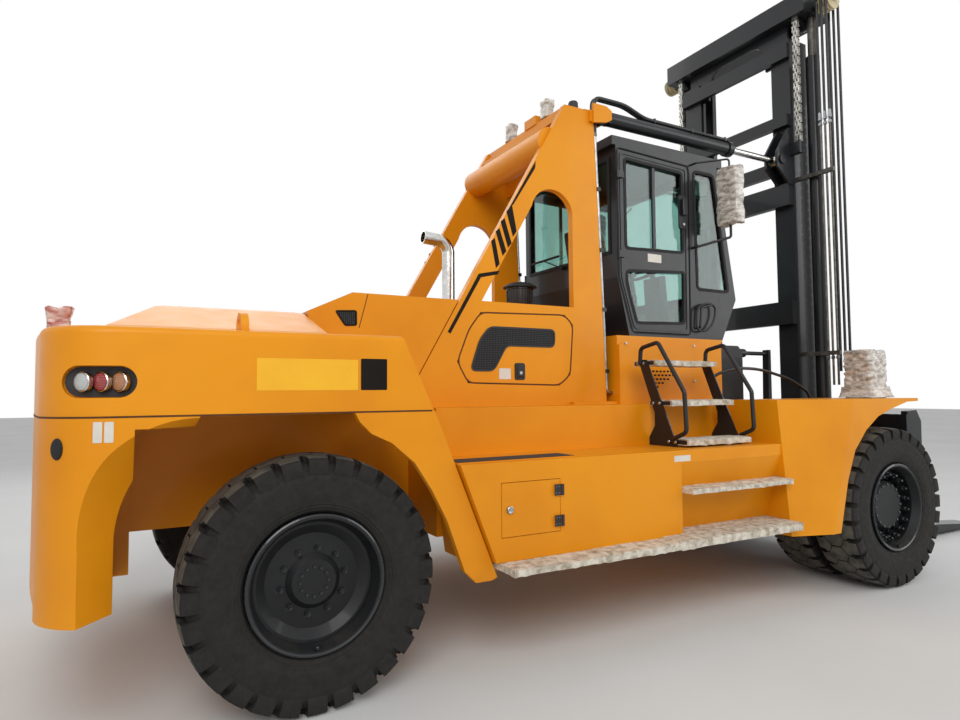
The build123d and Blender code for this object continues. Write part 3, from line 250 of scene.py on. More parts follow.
def tintedPane():
    # Green-tinted cab glass with a faint film of dust
    material, place = newMaterial("tintedPane")
    film = grain(material, place, 0.25, 5, stops=[(0.4, 0.02), (0.8, 0.09)])
    colour = addNode(material, "Mix", {
        "Factor": film, 6: srgb("#A9CBC4"), 7: srgb("#C9CFC8")}, 2, data_type="RGBA")
    return finishMaterial(material, colour, film, None, {"Transmission Weight": 1.0, "IOR": 1.45})


cabGlass = tintedPane()


def mouldedPlastic(name, colour, shade, roughness, pimple=0.0025, relief=0.0002, constants=None):
    # Moulded, woven or cut goods of one even tone with a fine pimpled skin
    material, place = newMaterial(name)
    tone = grain(material, place, 0.2, 4, stops=[(0.35, srgb(shade)), (0.65, srgb(colour))])
    rough = grain(material, place, 0.05, 3, stops=[(0.3, roughness), (0.7, roughness + 0.12)])
    skin = addNode(material, "Bump", {"Height": grain(material, place, pimple, 1), "Distance": relief})
    return finishMaterial(material, tone, rough, skin, constants or {})


blackPlastic = mouldedPlastic("blackPlastic", "#232427", "#1A1B1D", 0.5)
bowlPlastic = mouldedPlastic("bowlPlastic", "#2A2422", "#1B1817", 0.22, 0.01)
hoseRubber = mouldedPlastic("hoseRubber", "#1A1A1B", "#111112", 0.36, 0.005)
creamNylon = mouldedPlastic("creamNylon", "#D9CCA6", "#BFB08A", 0.4)
sealRubber = mouldedPlastic("sealRubber", "#151515", "#0F0F0F", 0.7)
seatCloth = mouldedPlastic("seatCloth", "#2E3034", "#25272A", 0.9, 0.003)
panelYellow = mouldedPlastic("panelYellow", "#F6B71C", "#F1AF17", 0.3)
labelWhite = mouldedPlastic("labelWhite", "#E4E0D6", "#D2CCC0", 0.5)
jointShade = mouldedPlastic("shadedJoint", "#5E3512", "#472709", 0.8)  # rust-brown shadow in a panel gap
mattFilm = {"Specular IOR Level": 0.12}  # cut vinyl has hardly any shine beside the enamel
# The same dark film also stands in the pedestal's vent slots as painted shade
stripeBlackAndSlotShade = mouldedPlastic("cutVinylAndSlotShade", "#1E1712", "#15100D", 0.5, 0.003, 0.00004, mattFilm)


def lensPlastic(name, colour):
    # Ribbed lamp lens, with a painted sheen that makes it paler along the ribs
    material, place = newMaterial(name)
    ribs = addNode(material, "TexWave", {"Vector": place, "Scale": 40.0}, "Fac", bands_direction="Z")
    # Painted sheen: the ribs drawn part way to white
    pale = addNode(material, "Mix", {
        "Factor": ribs, 6: srgb(colour), 7: srgb("#FFFFFF")}, 2, data_type="RGBA")
    tone = addNode(material, "Mix", {"Factor": 0.15, 6: srgb(colour), 7: pale}, 2, data_type="RGBA")
    rough = grain(material, place, 0.02, stops=[(0.3, 0.08), (0.7, 0.16)])
    skin = addNode(material, "Bump", {"Height": ribs, "Distance": 0.0008})
    return finishMaterial(material, tone, rough, skin, {"Transmission Weight": 0.35, "IOR": 1.49})


redLens = lensPlastic("redLens", "#B4201A")
clearLens = lensPlastic("clearLens", "#D9DDDC")
amberLens = lensPlastic("amberLens", "#C98652")


def foamSheet():
    # Off-white packing foam, dusty and scuffed, with small closed cells
    material, place = newMaterial("foamSheet")
    scuffs = grain(material, place, 0.05, 8, stops=[(0.40, 0.0), (0.66, 1.0)])
    colour = addNode(material, "Mix", {
        "Factor": scuffs, 6: srgb("#DCD6C8"), 7: srgb("#9D907B")}, 2, data_type="RGBA")
    cells = grain(material, place, 0.006, 3)
    rough = addNode(material, "ValToRGB", {"Fac": cells}, stops=[(0.3, 0.75), (0.7, 0.95)])
    skin = addNode(material, "Bump", {"Height": cells, "Distance": 0.0012})
    return finishMaterial(material, colour, rough, skin, {"Subsurface Weight": 0.1, "Subsurface Scale": 0.01})


packingFoam = foamSheet()


def crumpledFilm(name, deep, bright):
    # Stretch film: clear layers over the lamp, creased, with painted highlights along the folds
    material, place = newMaterial(name)
    folds = grain(material, place, 0.085, 9, (1, 1, 2.6))
    creases = addNode(material, "TexVoronoi", {
        "Vector": place, "Scale": 13.0}, "Distance", feature="DISTANCE_TO_EDGE")
    share = addNode(material, "ValToRGB", {"Fac": folds}, stops=[(0.36, 0.0), (0.62, 1.0)])
    # Painted highlights: the tone brightens from deep to bright along the folds
    tone = addNode(material, "Mix", {"Factor": share, 6: srgb(deep), 7: srgb(bright)}, 2, data_type="RGBA")
    rough = addNode(material, "ValToRGB", {"Fac": folds}, stops=[(0.4, 0.18), (0.7, 0.42)])
    fine = addNode(material, "Bump", {"Height": creases, "Distance": 0.006, "Strength": 0.6})
    skin = addNode(material, "Bump", {"Height": folds, "Distance": 0.012, "Strength": 0.8, "Normal": fine})
    return finishMaterial(material, tone, rough, skin, {
        "IOR": 1.49, "Coat Weight": 0.4, "Coat Roughness": 0.1})


wrapFilm = crumpledFilm("crumpledFilm", "#8F857A", "#E4DFD6")
pinkFilm = crumpledFilm("filmOverLens", "#B5564C", "#E2C7BC")


def antiSlipTape():
    # Self-adhesive grit tape: mineral grains of about 1 mm, drawn at 4 mm so that they show
    material, place = newMaterial("antiSlipTape")
    grit = grain(material, place, 0.004, 2)
    tone = addNode(material, "ValToRGB", {"Fac": grit}, stops=[
        (0.35, srgb("#141414")), (0.7, srgb("#3A3A3A"))])
    rough = addNode(material, "ValToRGB", {"Fac": grit}, stops=[(0.3, 0.7), (0.7, 0.95)])
    skin = addNode(material, "Bump", {"Height": grit, "Distance": 0.002})
    return finishMaterial(material, tone, rough, skin, {})


gritTape = antiSlipTape()

finishOfSlot = {
    "yellow_paint": orangeEnamel, "black_paint": blackEnamel, "tyre": tyreRubber, "chrome": chromePlate,
    "bright_steel": drawnSteel, "tinted_glass": cabGlass, "black_plastic": blackPlastic,
    "hose_rubber": hoseRubber, "cream_plastic": creamNylon, "foam_wrap": packingFoam,
    "red_lens": redLens, "lamp_grey": clearLens,
}
finishOfNode = {
    "lift_chains": chainSteel, "driver_seat": seatCloth, "tower_pipes": drawnSteel,
    "mast_pipes": zincSteel, "lift_rods": zincSteel,
}


def dressNodes():
    for part in frame["record"]["subparts"]:
        name = part["node"]
        finish = wheelEnamel if "rim" in name else finishOfSlot[part["material_slot"]]
        for slot in frame["nodes"][name].material_slots:
            slot.material = finishOfNode.get(name, finish)


dressNodes()
print("nodes dressed")


# Mesh helpers
def finishPiece(shape, name, materials, body="chassis", sharp=30, bevel=0.0, close=True):
    # Closed shapes get their normals outwards; loose film keeps the way it was laid
    if close:
        bmesh.ops.recalc_face_normals(shape, faces=shape.faces)
    for face in shape.faces:
        face.smooth = True
    for edge in shape.edges:
        if len(edge.link_faces) == 2 and edge.calc_face_angle(0) > math.radians(sharp):
            edge.smooth = False
    mesh = bpy.data.meshes.new(name)
    shape.to_mesh(mesh)
    shape.free()
    for material in materials:
        mesh.materials.append(material)
    piece = bpy.data.objects.new(name, mesh)
    bpy.context.scene.collection.objects.link(piece)
    if bevel:
        rounding = piece.modifiers.new("roundedEdges", "BEVEL")
        rounding.width = bevel
        rounding.segments = 2
        rounding.limit_method = "ANGLE"
        rounding.angle_limit = math.radians(sharp)
    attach(piece, body)
    return piece


def joinRings(shape, rings, finish=0, capped=True, closed=False):
    # Walls between rings of equally many points; a closed row also joins its last ring to its first
    count = len(rings[0])
    faces = [shape.faces.new((first[k], first[(k + 1) % count], second[(k + 1) % count], second[k]))
             for first, second in zip(rings, rings[1:] + (rings[:1] if closed else [])) for k in range(count)]
    if capped:
        faces += [shape.faces.new(rings[0][::-1]), shape.faces.new(rings[-1])]
    for face in faces:
        face.material_index = finish


def fullTurn(steps, start=0.0):
    return [start + 2 * math.pi * k / steps for k in range(steps)]


def sweepTube(shape, points, radius, steps=14, finish=0):
    # Round bar through the points; the ring is carried along without twisting
    points = [Vector(point) for point in points]
    rings = []
    side = (points[1] - points[0]).orthogonal().normalized()
    for index, point in enumerate(points):
        before = (point - points[max(index - 1, 0)]).normalized()
        after = (points[min(index + 1, len(points) - 1)] - point).normalized()
        along = (before + after).normalized()
        side = (side - along * side.dot(along)).normalized()
        across = along.cross(side)
        rings.append([shape.verts.new(point + (side * math.cos(turn) + across * math.sin(turn)) * radius)
                      for turn in fullTurn(steps)])
    joinRings(shape, rings, finish)


def frameAlong(centre, axis):
    # Matrix whose local Z runs along axis
    along = Vector(axis).normalized()
    hint = Vector((1, 0, 0)) if abs(along.z) > 0.95 else Vector((0, 0, 1))
    across = hint.cross(along).normalized()
    return placed(Vector(centre), across, along.cross(across), along)


def turnShape(shape, profile, centre, axis, steps=32, finish=0, capped=True):
    # Profile is (radius, height along the axis) pairs
    place = frameAlong(centre, axis)
    rings = [[shape.verts.new(place @ Vector((radius * math.cos(turn), radius * math.sin(turn), height)))
              for turn in fullTurn(steps)] for radius, height in profile]
    joinRings(shape, rings, finish, capped)


def ringOf(centre, axis, radius, count, start=0.0):
    place = frameAlong(centre, axis)
    return [place @ Vector((radius * math.cos(turn), radius * math.sin(turn), 0))
            for turn in fullTurn(count, start)]


def addPrism(shape, outline, place, depth, finish=0, taper=0.0):
    # A flat outline in the local XY plane, grown by depth along local Z; taper pulls the far face in
    middle = Vector((sum(p[0] for p in outline), sum(p[1] for p in outline))) / len(outline)
    near = [shape.verts.new(place @ Vector((x, y, 0))) for x, y in outline]
    far = [shape.verts.new(place @ Vector((x + (middle.x - x) * taper, y + (middle.y - y) * taper, depth)))
           for x, y in outline]
    joinRings(shape, [near, far], finish)


def rectangle(x0, z0, x1, z1):
    return [(x0, z0), (x1, z0), (x1, z1), (x0, z1)]


def addBlock(shape, box, finish=0):
    low, high = box
    place = Matrix.Translation((0, 0, low.z))
    addPrism(shape, rectangle(low.x, low.y, high.x, high.y), place, high.z - low.z, finish)


def hexNut(shape, centre, axis, across, height, finish=0, stud=0.0):
    # Six sides with a bevelled top, and the end of its stud
    place = frameAlong(centre, axis)
    radius, shoulder = across / math.sqrt(3), height * 0.8
    corners = [(radius * math.cos(turn), radius * math.sin(turn)) for turn in fullTurn(6)]
    addPrism(shape, corners, place, shoulder, finish)
    addPrism(shape, corners, place @ Matrix.Translation((0, 0, shoulder)), height * 0.2, finish, 0.14)
    if stud:
        end = [(across * 0.3, 0), (across * 0.3, height + stud * 0.85), (across * 0.24, height + stud)]
        turnShape(shape, end, centre, axis, 10, finish)


def bentCorner(before, corner, after, bend, most, steps):
    # Arc of about the bend radius in place of a corner; most is the share of each run it may use
    first, second = before - corner, after - corner
    room = min(bend, first.length * most, second.length * most)
    start, end = corner + first.normalized() * room, corner + second.normalized() * room
    return [start.lerp(corner, share).lerp(corner.lerp(end, share), share)
            for share in (step / steps for step in range(steps + 1))]


def roundedPath(points, bend):
    path = [points[0]]
    for before, corner, after in zip(points, points[1:], points[2:]):
        path += bentCorner(before, corner, after, bend, 0.48, 6)
    return path + [points[-1]]


def cornersOf(spots):
    # Each corner of a closed outline between the one before and the one after
    spots = [Vector(spot) for spot in spots]
    return zip(spots[-1:] + spots[:-1], spots, spots[1:] + spots[:1])


def roundedOutline(spots, bend, steps=4):
    return [tuple(spot) for before, corner, after in cornersOf(spots)
            for spot in bentCorner(before, corner, after, bend, 0.45, steps)]


def movedOutline(spots, distance):
    # The same outline grown outwards, or drawn in for a negative distance
    area = sum(a[0] * b[1] - b[0] * a[1] for a, b in zip(spots, spots[1:] + spots[:1]))
    turn = -1 if area > 0 else 1
    moved = []
    for before, corner, after in cornersOf(spots):
        first, second = (corner - before).normalized(), (after - corner).normalized()
        firstOut, secondOut = Vector((-first.y, first.x)) * turn, Vector((-second.y, second.x)) * turn
        out = (firstOut + secondOut).normalized()
        moved.append(tuple(corner + out * distance / max(out.dot(firstOut), 0.4)))
    return moved


def sideMatrix(y, sign):
    # Local X forward, local Y up, local Z out of the side; mirrored sides keep the same outline
    return Matrix(((1, 0, 0, at(0)), (0, 0, sign, sign * y), (0, 1, 0, 0), (0, 0, 0, 1)))


def sidePlate(shape, spots, y, sign, depth, finish=0, taper=0.0):
    # Plate cut to stations and heights, from y outwards by depth
    addPrism(shape, spots, sideMatrix(y, sign), depth, finish, taper)


def flatMark(shape, spots, y, sign, finish=0, lift=0.0015, thick=0.0012):
    # Thin film cut to an outline of stations and heights, its face standing lift outside y
    sidePlate(shape, spots, y + lift - thick, sign, thick, finish)


def frameRing(shape, spots, outer, inner, y, sign, depth, finish=0):
    # Flat ring along an outline, from outer outside it to inner, which is negative for inside it
    place = sideMatrix(y, sign)
    rings = [[shape.verts.new(place @ Vector((x, z, out))) for x, z in movedOutline(spots, distance)]
             for distance, out in ((outer, 0), (outer, depth), (inner, depth), (inner, 0))]
    joinRings(shape, rings, finish, capped=False, closed=True)


# Tyres: a turned carcass with its tread blocks standing on it
tyreFacts = {
    "lugs": 28,
    "radius": wheelRadius,
    "halfWidth": 0.1875,
    "beadRadius": 0.372,
    "carcass": [  # distance from the middle plane, radius
        (0.128, 0.373), (0.150, 0.380), (0.163, 0.392), (0.166, 0.404), (0.172, 0.412), (0.172, 0.420),
        (0.177, 0.426), (0.1815, 0.455), (0.1835, 0.462), (0.1835, 0.469), (0.1845, 0.476), (0.1850, 0.510),
        (0.1835, 0.545), (0.1845, 0.552), (0.1845, 0.560), (0.1800, 0.590), (0.168, 0.622), (0.148, 0.643),
        (0.100, 0.652), (0.040, 0.655)],
    "carcassSteps": 112,
    "shoulderRows": [  # half width in pitches, distance from the middle, radius of top; both for the foot
        (0.030, 0.047, 0.6865, 0.047, 0.640), (0.465, 0.084, 0.6860, 0.084, 0.640),
        (0.455, 0.106, 0.6850, 0.106, 0.640), (0.350, 0.120, 0.6840, 0.120, 0.640),
        (0.350, 0.150, 0.6800, 0.148, 0.630), (0.350, 0.172, 0.6745, 0.160, 0.612),
        (0.352, 0.1850, 0.6620, 0.165, 0.600), (0.362, 0.1875, 0.6350, 0.168, 0.585),
        (0.385, 0.1862, 0.6060, 0.172, 0.575), (0.395, 0.1815, 0.5820, 0.174, 0.568)],
    "middleRows": [(0.030, -0.080), (0.462, -0.040), (0.462, 0.0), (0.462, 0.040), (0.030, 0.080)],
    "middleFoot": 0.640,
    "columns": 4,
    "wornFrom": 0.67,
}
wheelNodes = {"steer": ("steer_tyre_", "steer_wheel_"), "drive": ("drive_tyres_", "drive_wheels_")}


def tyreMiddles(node):
    # Middle of each tyre on the node, from right to left
    low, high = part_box(node)
    reach = (high[1] - low[1]) / 2 - tyreFacts["halfWidth"]
    return [middleOf(node) + Vector((0, shift, 0)) for shift in ((-reach, reach) if reach > 0.01 else (0,))]


def treadBlock(shape, rows, centreTurn, centre, pitch):
    # Rows run across the tread; each has a top edge and a foot buried in the carcass
    columns, last = tyreFacts["columns"], len(rows) - 1

    def edge(half, across, radius):
        turns = [centreTurn + pitch * half * (2 * k / columns - 1) for k in range(columns + 1)]
        return [shape.verts.new(centre + Vector((radius * math.sin(turn), across, radius * math.cos(turn))))
                for turn in turns]
    tops = [edge(half, across, radius) for half, across, radius, _, _ in rows]
    feet = [edge(half, across, radius) for half, _, _, across, radius in rows]
    for r in range(last):
        for k in range(columns):
            face = shape.faces.new((tops[r][k], tops[r][k + 1], tops[r + 1][k + 1], tops[r + 1][k]))
            face.material_index = 1 if min(rows[r][2], rows[r + 1][2]) > tyreFacts["wornFrom"] else 0
        shape.faces.new((tops[r][0], tops[r + 1][0], feet[r + 1][0], feet[r][0]))
        shape.faces.new((tops[r][columns], feet[r][columns], feet[r + 1][columns], tops[r + 1][columns]))
    for k in range(columns):
        shape.faces.new((tops[0][k], feet[0][k], feet[0][k + 1], tops[0][k + 1]))
        shape.faces.new((tops[last][k], tops[last][k + 1], feet[last][k + 1], feet[last][k]))


def addTyre(shape, centre):
    facts = tyreFacts
    pitch = 2 * math.pi / facts["lugs"]
    half, bead = facts["carcass"], facts["beadRadius"]
    outline = [(radius, across) for across, radius in half]
    outline += [(radius, -across) for radius, across in outline[::-1]]
    outline += [(bead, -half[0][0]), (bead, half[0][0]), outline[0]]
    turnShape(shape, outline, centre, (0, 1, 0), facts["carcassSteps"], 0, False)
    crown = [(width, across, facts["radius"], across, facts["middleFoot"])
             for width, across in facts["middleRows"]]
    shoulders = [[(width, across * side, top, footAcross * side, foot)
                  for width, across, top, footAcross, foot in facts["shoulderRows"]] for side in (-1, 1)]
    for lug in range(facts["lugs"]):
        treadBlock(shape, crown, pitch * (lug + 0.5), centre, pitch)
        for rows in shoulders:
            treadBlock(shape, rows, pitch * lug, centre, pitch)


def buildTyres():
    for side, _ in sides:
        for kind, (node, body) in wheelNodes.items():
            shape = bmesh.new()
            for centre in tyreMiddles(node + side):
                addTyre(shape, centre)
            bmesh.ops.remove_doubles(shape, verts=shape.verts, dist=0.00001)
            finishes = [tyreRubber, wornTread]
            piece = finishPiece(shape, f"{kind}_tread_{side}", finishes, body + side, 28)
            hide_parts(node + side)


buildTyres()
print("tyres built")


# Wheel nuts, clamps, lock rings and valve stems on the rims; seats are distances outside the tyre's middle
rimFacts = {
    "steer": {"nuts": 10, "circle": 0.178, "seat": 0.062, "across": 0.034, "tall": 0.026, "stud": 0.018,
              "capNuts": 12, "capCircle": 0.078, "capSeat": 0.096},
    "drive": {"nuts": 18, "circle": 0.241, "seat": -0.032, "across": 0.036, "tall": 0.040, "stud": 0.034,
              "capNuts": 16, "capCircle": 0.186, "capSeat": 0.086},
    "start": 0.16,
    "capNut": (0.020, 0.011),
    "edge": tyreFacts["halfWidth"] - 0.014,
    "lockRing": [  # radius, distance from the edge
        (0.371, -0.020), (0.376, -0.006), (0.374, 0.004), (0.366, 0.008), (0.357, 0.004),
        (0.353, -0.006), (0.346, -0.010), (0.343, -0.018), (0.371, -0.020)],
    "stem": [(0.009, -0.018), (0.009, 0.002), (0.006, 0.004), (0.006, 0.012)],
    "stemDrop": -0.332,
}
clampFacts = {
    "count": 18,
    "circle": 0.286,
    "seat": 0.038,
    "thick": 0.024,
    "taper": 0.10,
    "outline": [(-0.032, -0.017), (0.018, -0.026), (0.030, -0.020),
                (0.030, 0.020), (0.018, 0.026), (-0.032, 0.017)],
    "boltIn": 0.010,
    "bolt": [(0.012, -0.066), (0.012, 0.004)],
    "nut": (0.041, 0.036, 0, 0.026),
}


def addRimClamps(shape, middle, outward):
    # Wedge clamps that hold the outer rim, each on a long stud
    facts = clampFacts
    seat = middle + outward * facts["seat"]
    for spot in ringOf(seat, outward, facts["circle"], facts["count"], rimFacts["start"]):
        radial = (spot - seat).normalized()
        place = placed(spot, radial, outward.cross(radial), outward)
        addPrism(shape, facts["outline"], place, facts["thick"], 0, facts["taper"])
        foot = spot - radial * facts["boltIn"]
        turnShape(shape, facts["bolt"], foot, outward, 12)
        hexNut(shape, foot + outward * facts["thick"], outward, *facts["nut"])


def buildRimFittings():
    for side, sign in sides:
        outward = Vector((0, sign, 0))
        for kind, (node, body) in wheelNodes.items():
            facts = rimFacts[kind]
            middle = tyreMiddles(node + side)[0 if sign < 0 else -1]
            shape = bmesh.new()
            washer, start = facts["across"] * 0.72, rimFacts["start"]
            seat, capSeat = (middle + outward * facts[face] for face in ("seat", "capSeat"))
            for nut in ringOf(seat, outward, facts["circle"], facts["nuts"], start):
                turnShape(shape, [(washer, -0.004), (washer, 0.004)], nut, outward, 16)
                hexNut(shape, nut, outward, facts["across"], facts["tall"], 0, facts["stud"])
            if kind == "drive":
                addRimClamps(shape, middle, outward)
            for nut in ringOf(capSeat, outward, facts["capCircle"], facts["capNuts"]):
                hexNut(shape, nut, outward, *rimFacts["capNut"])
            edge = middle + outward * rimFacts["edge"]
            turnShape(shape, rimFacts["lockRing"], edge, outward, 72, 0, False)
            turnShape(shape, rimFacts["stem"], edge + Vector((0, 0, rimFacts["stemDrop"])), outward, 10)
            finishPiece(shape, f"{kind}_rim_fittings_{side}", [hubEnamel], body + side)


buildRimFittings()
print("rims fitted")


# Stretch film and packing foam the truck is delivered in
wrapFacts = {  # stations, distances from the middle plane and heights
    "mirror": ((3.882, 4.016), (0.826, 1.098), (3.228, 3.772)),
    "lamp": ((5.044, 5.358), (1.252, 1.558), (1.626, 2.088)),
    "lampSkirt": ((5.034, 5.366), (1.244, 1.566), (1.634, 1.634)),
    "towerLamps": [((2.289, 2.399), (-0.414, -0.286), (4.125, 4.301)),
                   ((2.289, 2.399), (0.186, 0.314), (4.125, 4.301))],
    "beacon": ((-1.384, -1.208), (-0.092, 0.092), (2.033, 2.291)),
    "beaconSkirt": ((-1.371, -1.215), (-0.085, 0.085), (2.038, 2.038)),
    "mostCuts": 26,
    "cornerPull": 0.10,
    "skirtTurns": 56,
    "skirtLevels": 4,
}


def wrapBox(shape, box, seed, waist, rough=0.018, cells=0.028):
    # A closed skin over a box: corners drawn in, the surface puckered by noise
    low, high = box
    middle, half = (low + high) / 2, (high - low) / 2
    cuts = min(int(2 * max(half) / cells), wrapFacts["mostCuts"])
    standing = set(shape.edges)
    bmesh.ops.create_cube(shape, size=2)
    added = [edge for edge in shape.edges if edge not in standing]
    bmesh.ops.subdivide_edges(shape, edges=added, cuts=cuts, use_grid_fill=True)
    for vert in {vert for edge in shape.edges if edge not in standing for vert in edge.verts}:
        x, y, z = vert.co
        pull = 1 - wrapFacts["cornerPull"] * ((x * y) ** 4 + (y * z) ** 4) - waist * (1 - z ** 2) * 0.5
        spot = Vector((x * half.x * pull, y * half.y * pull, z * half.z * (0.96 + 0.04 * pull)))
        # Sharp outward folds from the absolute value of the noise
        folds = abs(noise.noise(spot * Vector((9, 9, 15)) + Vector((seed, 0, 0))))
        creases = abs(noise.noise(spot * 30 + Vector((0, seed, 0))))
        vert.co = middle + spot - spot.normalized() * rough * (0.15 + 1.5 * folds + 0.8 * creases)


def filmSkirt(shape, box, flare, rise, seed):
    # Loose tail of the film, spread on the plate below
    low, high = box
    centre, half = (low + high) / 2, (high - low) / 2
    rings = []
    for level in range(wrapFacts["skirtLevels"]):
        share = level / (wrapFacts["skirtLevels"] - 1)
        ring = []
        for angle in fullTurn(wrapFacts["skirtTurns"]):
            across, deep = math.cos(angle), math.sin(angle)
            scale = 1 / max(abs(across), abs(deep)) ** 0.8
            wave = noise.noise(Vector((across * 3, deep * 3, seed)))
            wave += 0.5 * noise.noise(Vector((across * 9, deep * 9, seed)))
            spread = -0.012 + flare * share ** 1.5 * (0.65 + 0.7 * wave)
            ring.append(shape.verts.new((centre.x + (half.x * scale + spread) * across,
                                         centre.y + (half.y * scale + spread) * deep,
                                         low.z + rise * (1 - share) ** 1.3 + 0.004 * (1 + wave))))
        rings.append(ring)
    joinRings(shape, rings, capped=False)


def buildMirrorWraps():
    for index, (side, sign) in enumerate(sides):
        shape = bmesh.new()
        wrapBox(shape, sideBox(*wrapFacts["mirror"], sign), index * 3.1 + 1.0, 0.10)
        finishPiece(shape, f"mirror_wrap_{side}", [wrapFilm], sharp=60, close=False)


def foamTread(shape, box, seed):
    # Foam sheet taped round a board: soft edges, dents, a frayed underside
    low, high = box
    across, deep = max(int((high.x - low.x) / 0.035), 4), max(int((high.y - low.y) / 0.03), 3)
    rings = []
    for k in range(across + 1):
        x = low.x + (high.x - low.x) * k / across
        rows = [(low.y + (high.y - low.y) * j / deep, j in (0, deep)) for j in range(deep + 1)]
        ring = []
        for y, edge in rows:
            dent = noise.noise(Vector((x * 7 + seed, y * 9, seed))) * 0.006
            ring.append(shape.verts.new((x, y, high.z - 0.004 + dent - 0.005 * edge)))
        for y, edge in rows[::-1]:
            sag = abs(noise.noise(Vector((x * 11, y * 13 + seed, 4)))) * 0.010 * (1.6 if edge else 1)
            ring.append(shape.verts.new((x, y, low.z + 0.006 - sag)))
        fray = noise.noise(Vector((x * 23, seed, 2))) * 0.006
        for vert in ring[:1] + ring[-1:]:
            vert.co.y += fray
        rings.append(ring)
    joinRings(shape, rings)


buildMirrorWraps()
print("mirrors wrapped")


# Stripes cut from film: stations and heights on the outer face of the tower plate
towerPlateY = 0.680
towerStripes = [
    [(1.185, 2.162), (1.452, 2.620), (1.640, 2.660), (1.622, 2.628), (1.472, 2.594), (1.208, 2.150)],
    [(1.565, 2.886), (1.598, 2.914), (1.640, 2.712), (1.606, 2.676)],
    [(1.606, 2.966), (1.641, 2.996), (1.702, 2.820), (1.668, 2.778)],
    [(1.652, 3.050), (1.688, 3.082), (1.752, 2.888), (1.718, 2.848)],
    [(1.706, 3.138), (1.760, 3.192), (1.800, 2.990), (1.765, 2.940)],
    [(1.722, 3.150), (1.990, 3.590), (1.984, 3.530), (1.775, 3.206)],
]


def buildStripes():
    for side, sign in sides:
        shape = bmesh.new()
        for outline in towerStripes:
            flatMark(shape, outline, towerPlateY, sign)
        finishPiece(shape, f"tower_stripes_{side}", [stripeBlackAndSlotShade])


buildStripes()
print("stripes laid")


# Engine doors: sheet panel with painted shade in the seam round it, honeycomb grille, latch and a blank plate
engineDoorFacts = {
    "outline": [(1.262, 1.941), (1.353, 1.780), (2.200, 1.762), (2.311, 1.850),
                (2.345, 2.264), (2.258, 2.345), (1.467, 2.325), (1.362, 2.190)],
    "gap": 0.008,
    "sheet": 0.020,
    "edge": 0.004,
    "grille": [(1.380, 1.880), (1.575, 1.880), (1.692, 2.078), (2.146, 2.078), (2.152, 2.212),
               (1.545, 2.212), (1.460, 2.112)],
    "label": (1.626, 1.812, 1.732, 1.896),
    "latch": (1.768, 1.806, 1.862, 1.940),
    "lock": (1.815, 0.699, 1.861),
    "barrel": [(0.013, 0), (0.013, 0.004), (0.004, 0.004)],
}


def buildEngineDoors():
    facts = engineDoorFacts
    face, edge = towerPlateY, facts["edge"]
    for side, sign in sides:
        shape = bmesh.new()
        panel = roundedOutline(movedOutline(facts["outline"], -facts["gap"]), 0.05, 5)
        sidePlate(shape, panel, face - facts["sheet"], sign, facts["sheet"] - edge)
        sidePlate(shape, panel, face - edge, sign, edge, 0, 0.004)
        grille = roundedOutline(facts["grille"], 0.045, 5)
        frameRing(shape, grille, 0.009, -0.004, face, sign, 0.006, 1)
        sidePlate(shape, grille, face, sign, 0.003, 2)
        sidePlate(shape, roundedOutline(rectangle(*facts["label"]), 0.008), face, sign, 0.0015, 3)
        case = roundedOutline(rectangle(*facts["latch"]), 0.018)
        sidePlate(shape, case, face, sign, 0.010, 1, 0.05)
        sidePlate(shape, movedOutline(case, -0.014), face + 0.008, sign, 0.012, 1, 0.25)
        turnShape(shape, facts["barrel"], onSide(*facts["lock"], sign), (0, sign, 0), 18, 4)
        finishes = [orangeEnamel, blackPlastic, meshSteel, labelWhite, drawnSteel]
        body = f"engine_door_{side}"
        piece = finishPiece(shape, f"engine_door_panel_{side}", finishes, body)
        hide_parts(f"engine_door_{side}")
        # Painted shade: a rust-brown ring down in the gap round the door panel
        seam = bmesh.new()
        frameRing(seam, roundedOutline(facts["outline"], 0.055, 5), 0.003, -0.007, face - 0.016, sign, 0.0168)
        finishPiece(seam, f"engine_door_gap_shade_{side}", [jointShade])


buildEngineDoors()
print("engine doors hung")


# Cab: window rubbers, door trims, rear wiper and the blank plate on the door
cabFacts = {
    "side": 0.720,
    "doorWindow": [(2.900, 3.755), (3.590, 3.730), (3.590, 2.985), (2.900, 2.960)],
    "doorLowPane": [(2.905, 2.760), (3.595, 2.800), (3.585, 2.330), (3.010, 2.310), (2.905, 2.650)],
    "frontPane": [(3.745, 3.770), (4.005, 3.770), (4.175, 2.660), (3.765, 2.660)],
    "doorEdge": [(2.815, 3.835), (3.675, 3.805), (3.655, 2.225), (2.960, 2.225), (2.815, 2.705)],
    "plate": (3.150, 2.862, 3.312, 2.935),
    "latch": (3.535, 3.200, 3.632, 3.520),
    "lock": (3.590, 0.730, 3.245),
    "barrel": [(0.014, 0), (0.014, 0.010), (0.009, 0.013)],
    "rearWindow": (0.625, 2.930, 3.760),  # half width, bottom and top
    "rearRubber": ((0.016, 2.796), (0.016, 2.790), (-0.012, 2.790), (-0.012, 2.796)),  # growth, station
    "wiperMotor": ((2.790, 0.05, 2.905), (2.762, 0.05, 2.905)),
    "wiperArm": ((2.768, 0.05, 2.905), (2.766, 0.25, 2.985), (2.772, 0.38, 3.035)),
    "wiperBlade": ((2.770, 2.784), (0.10, 0.60), (3.020, 3.040)),
}


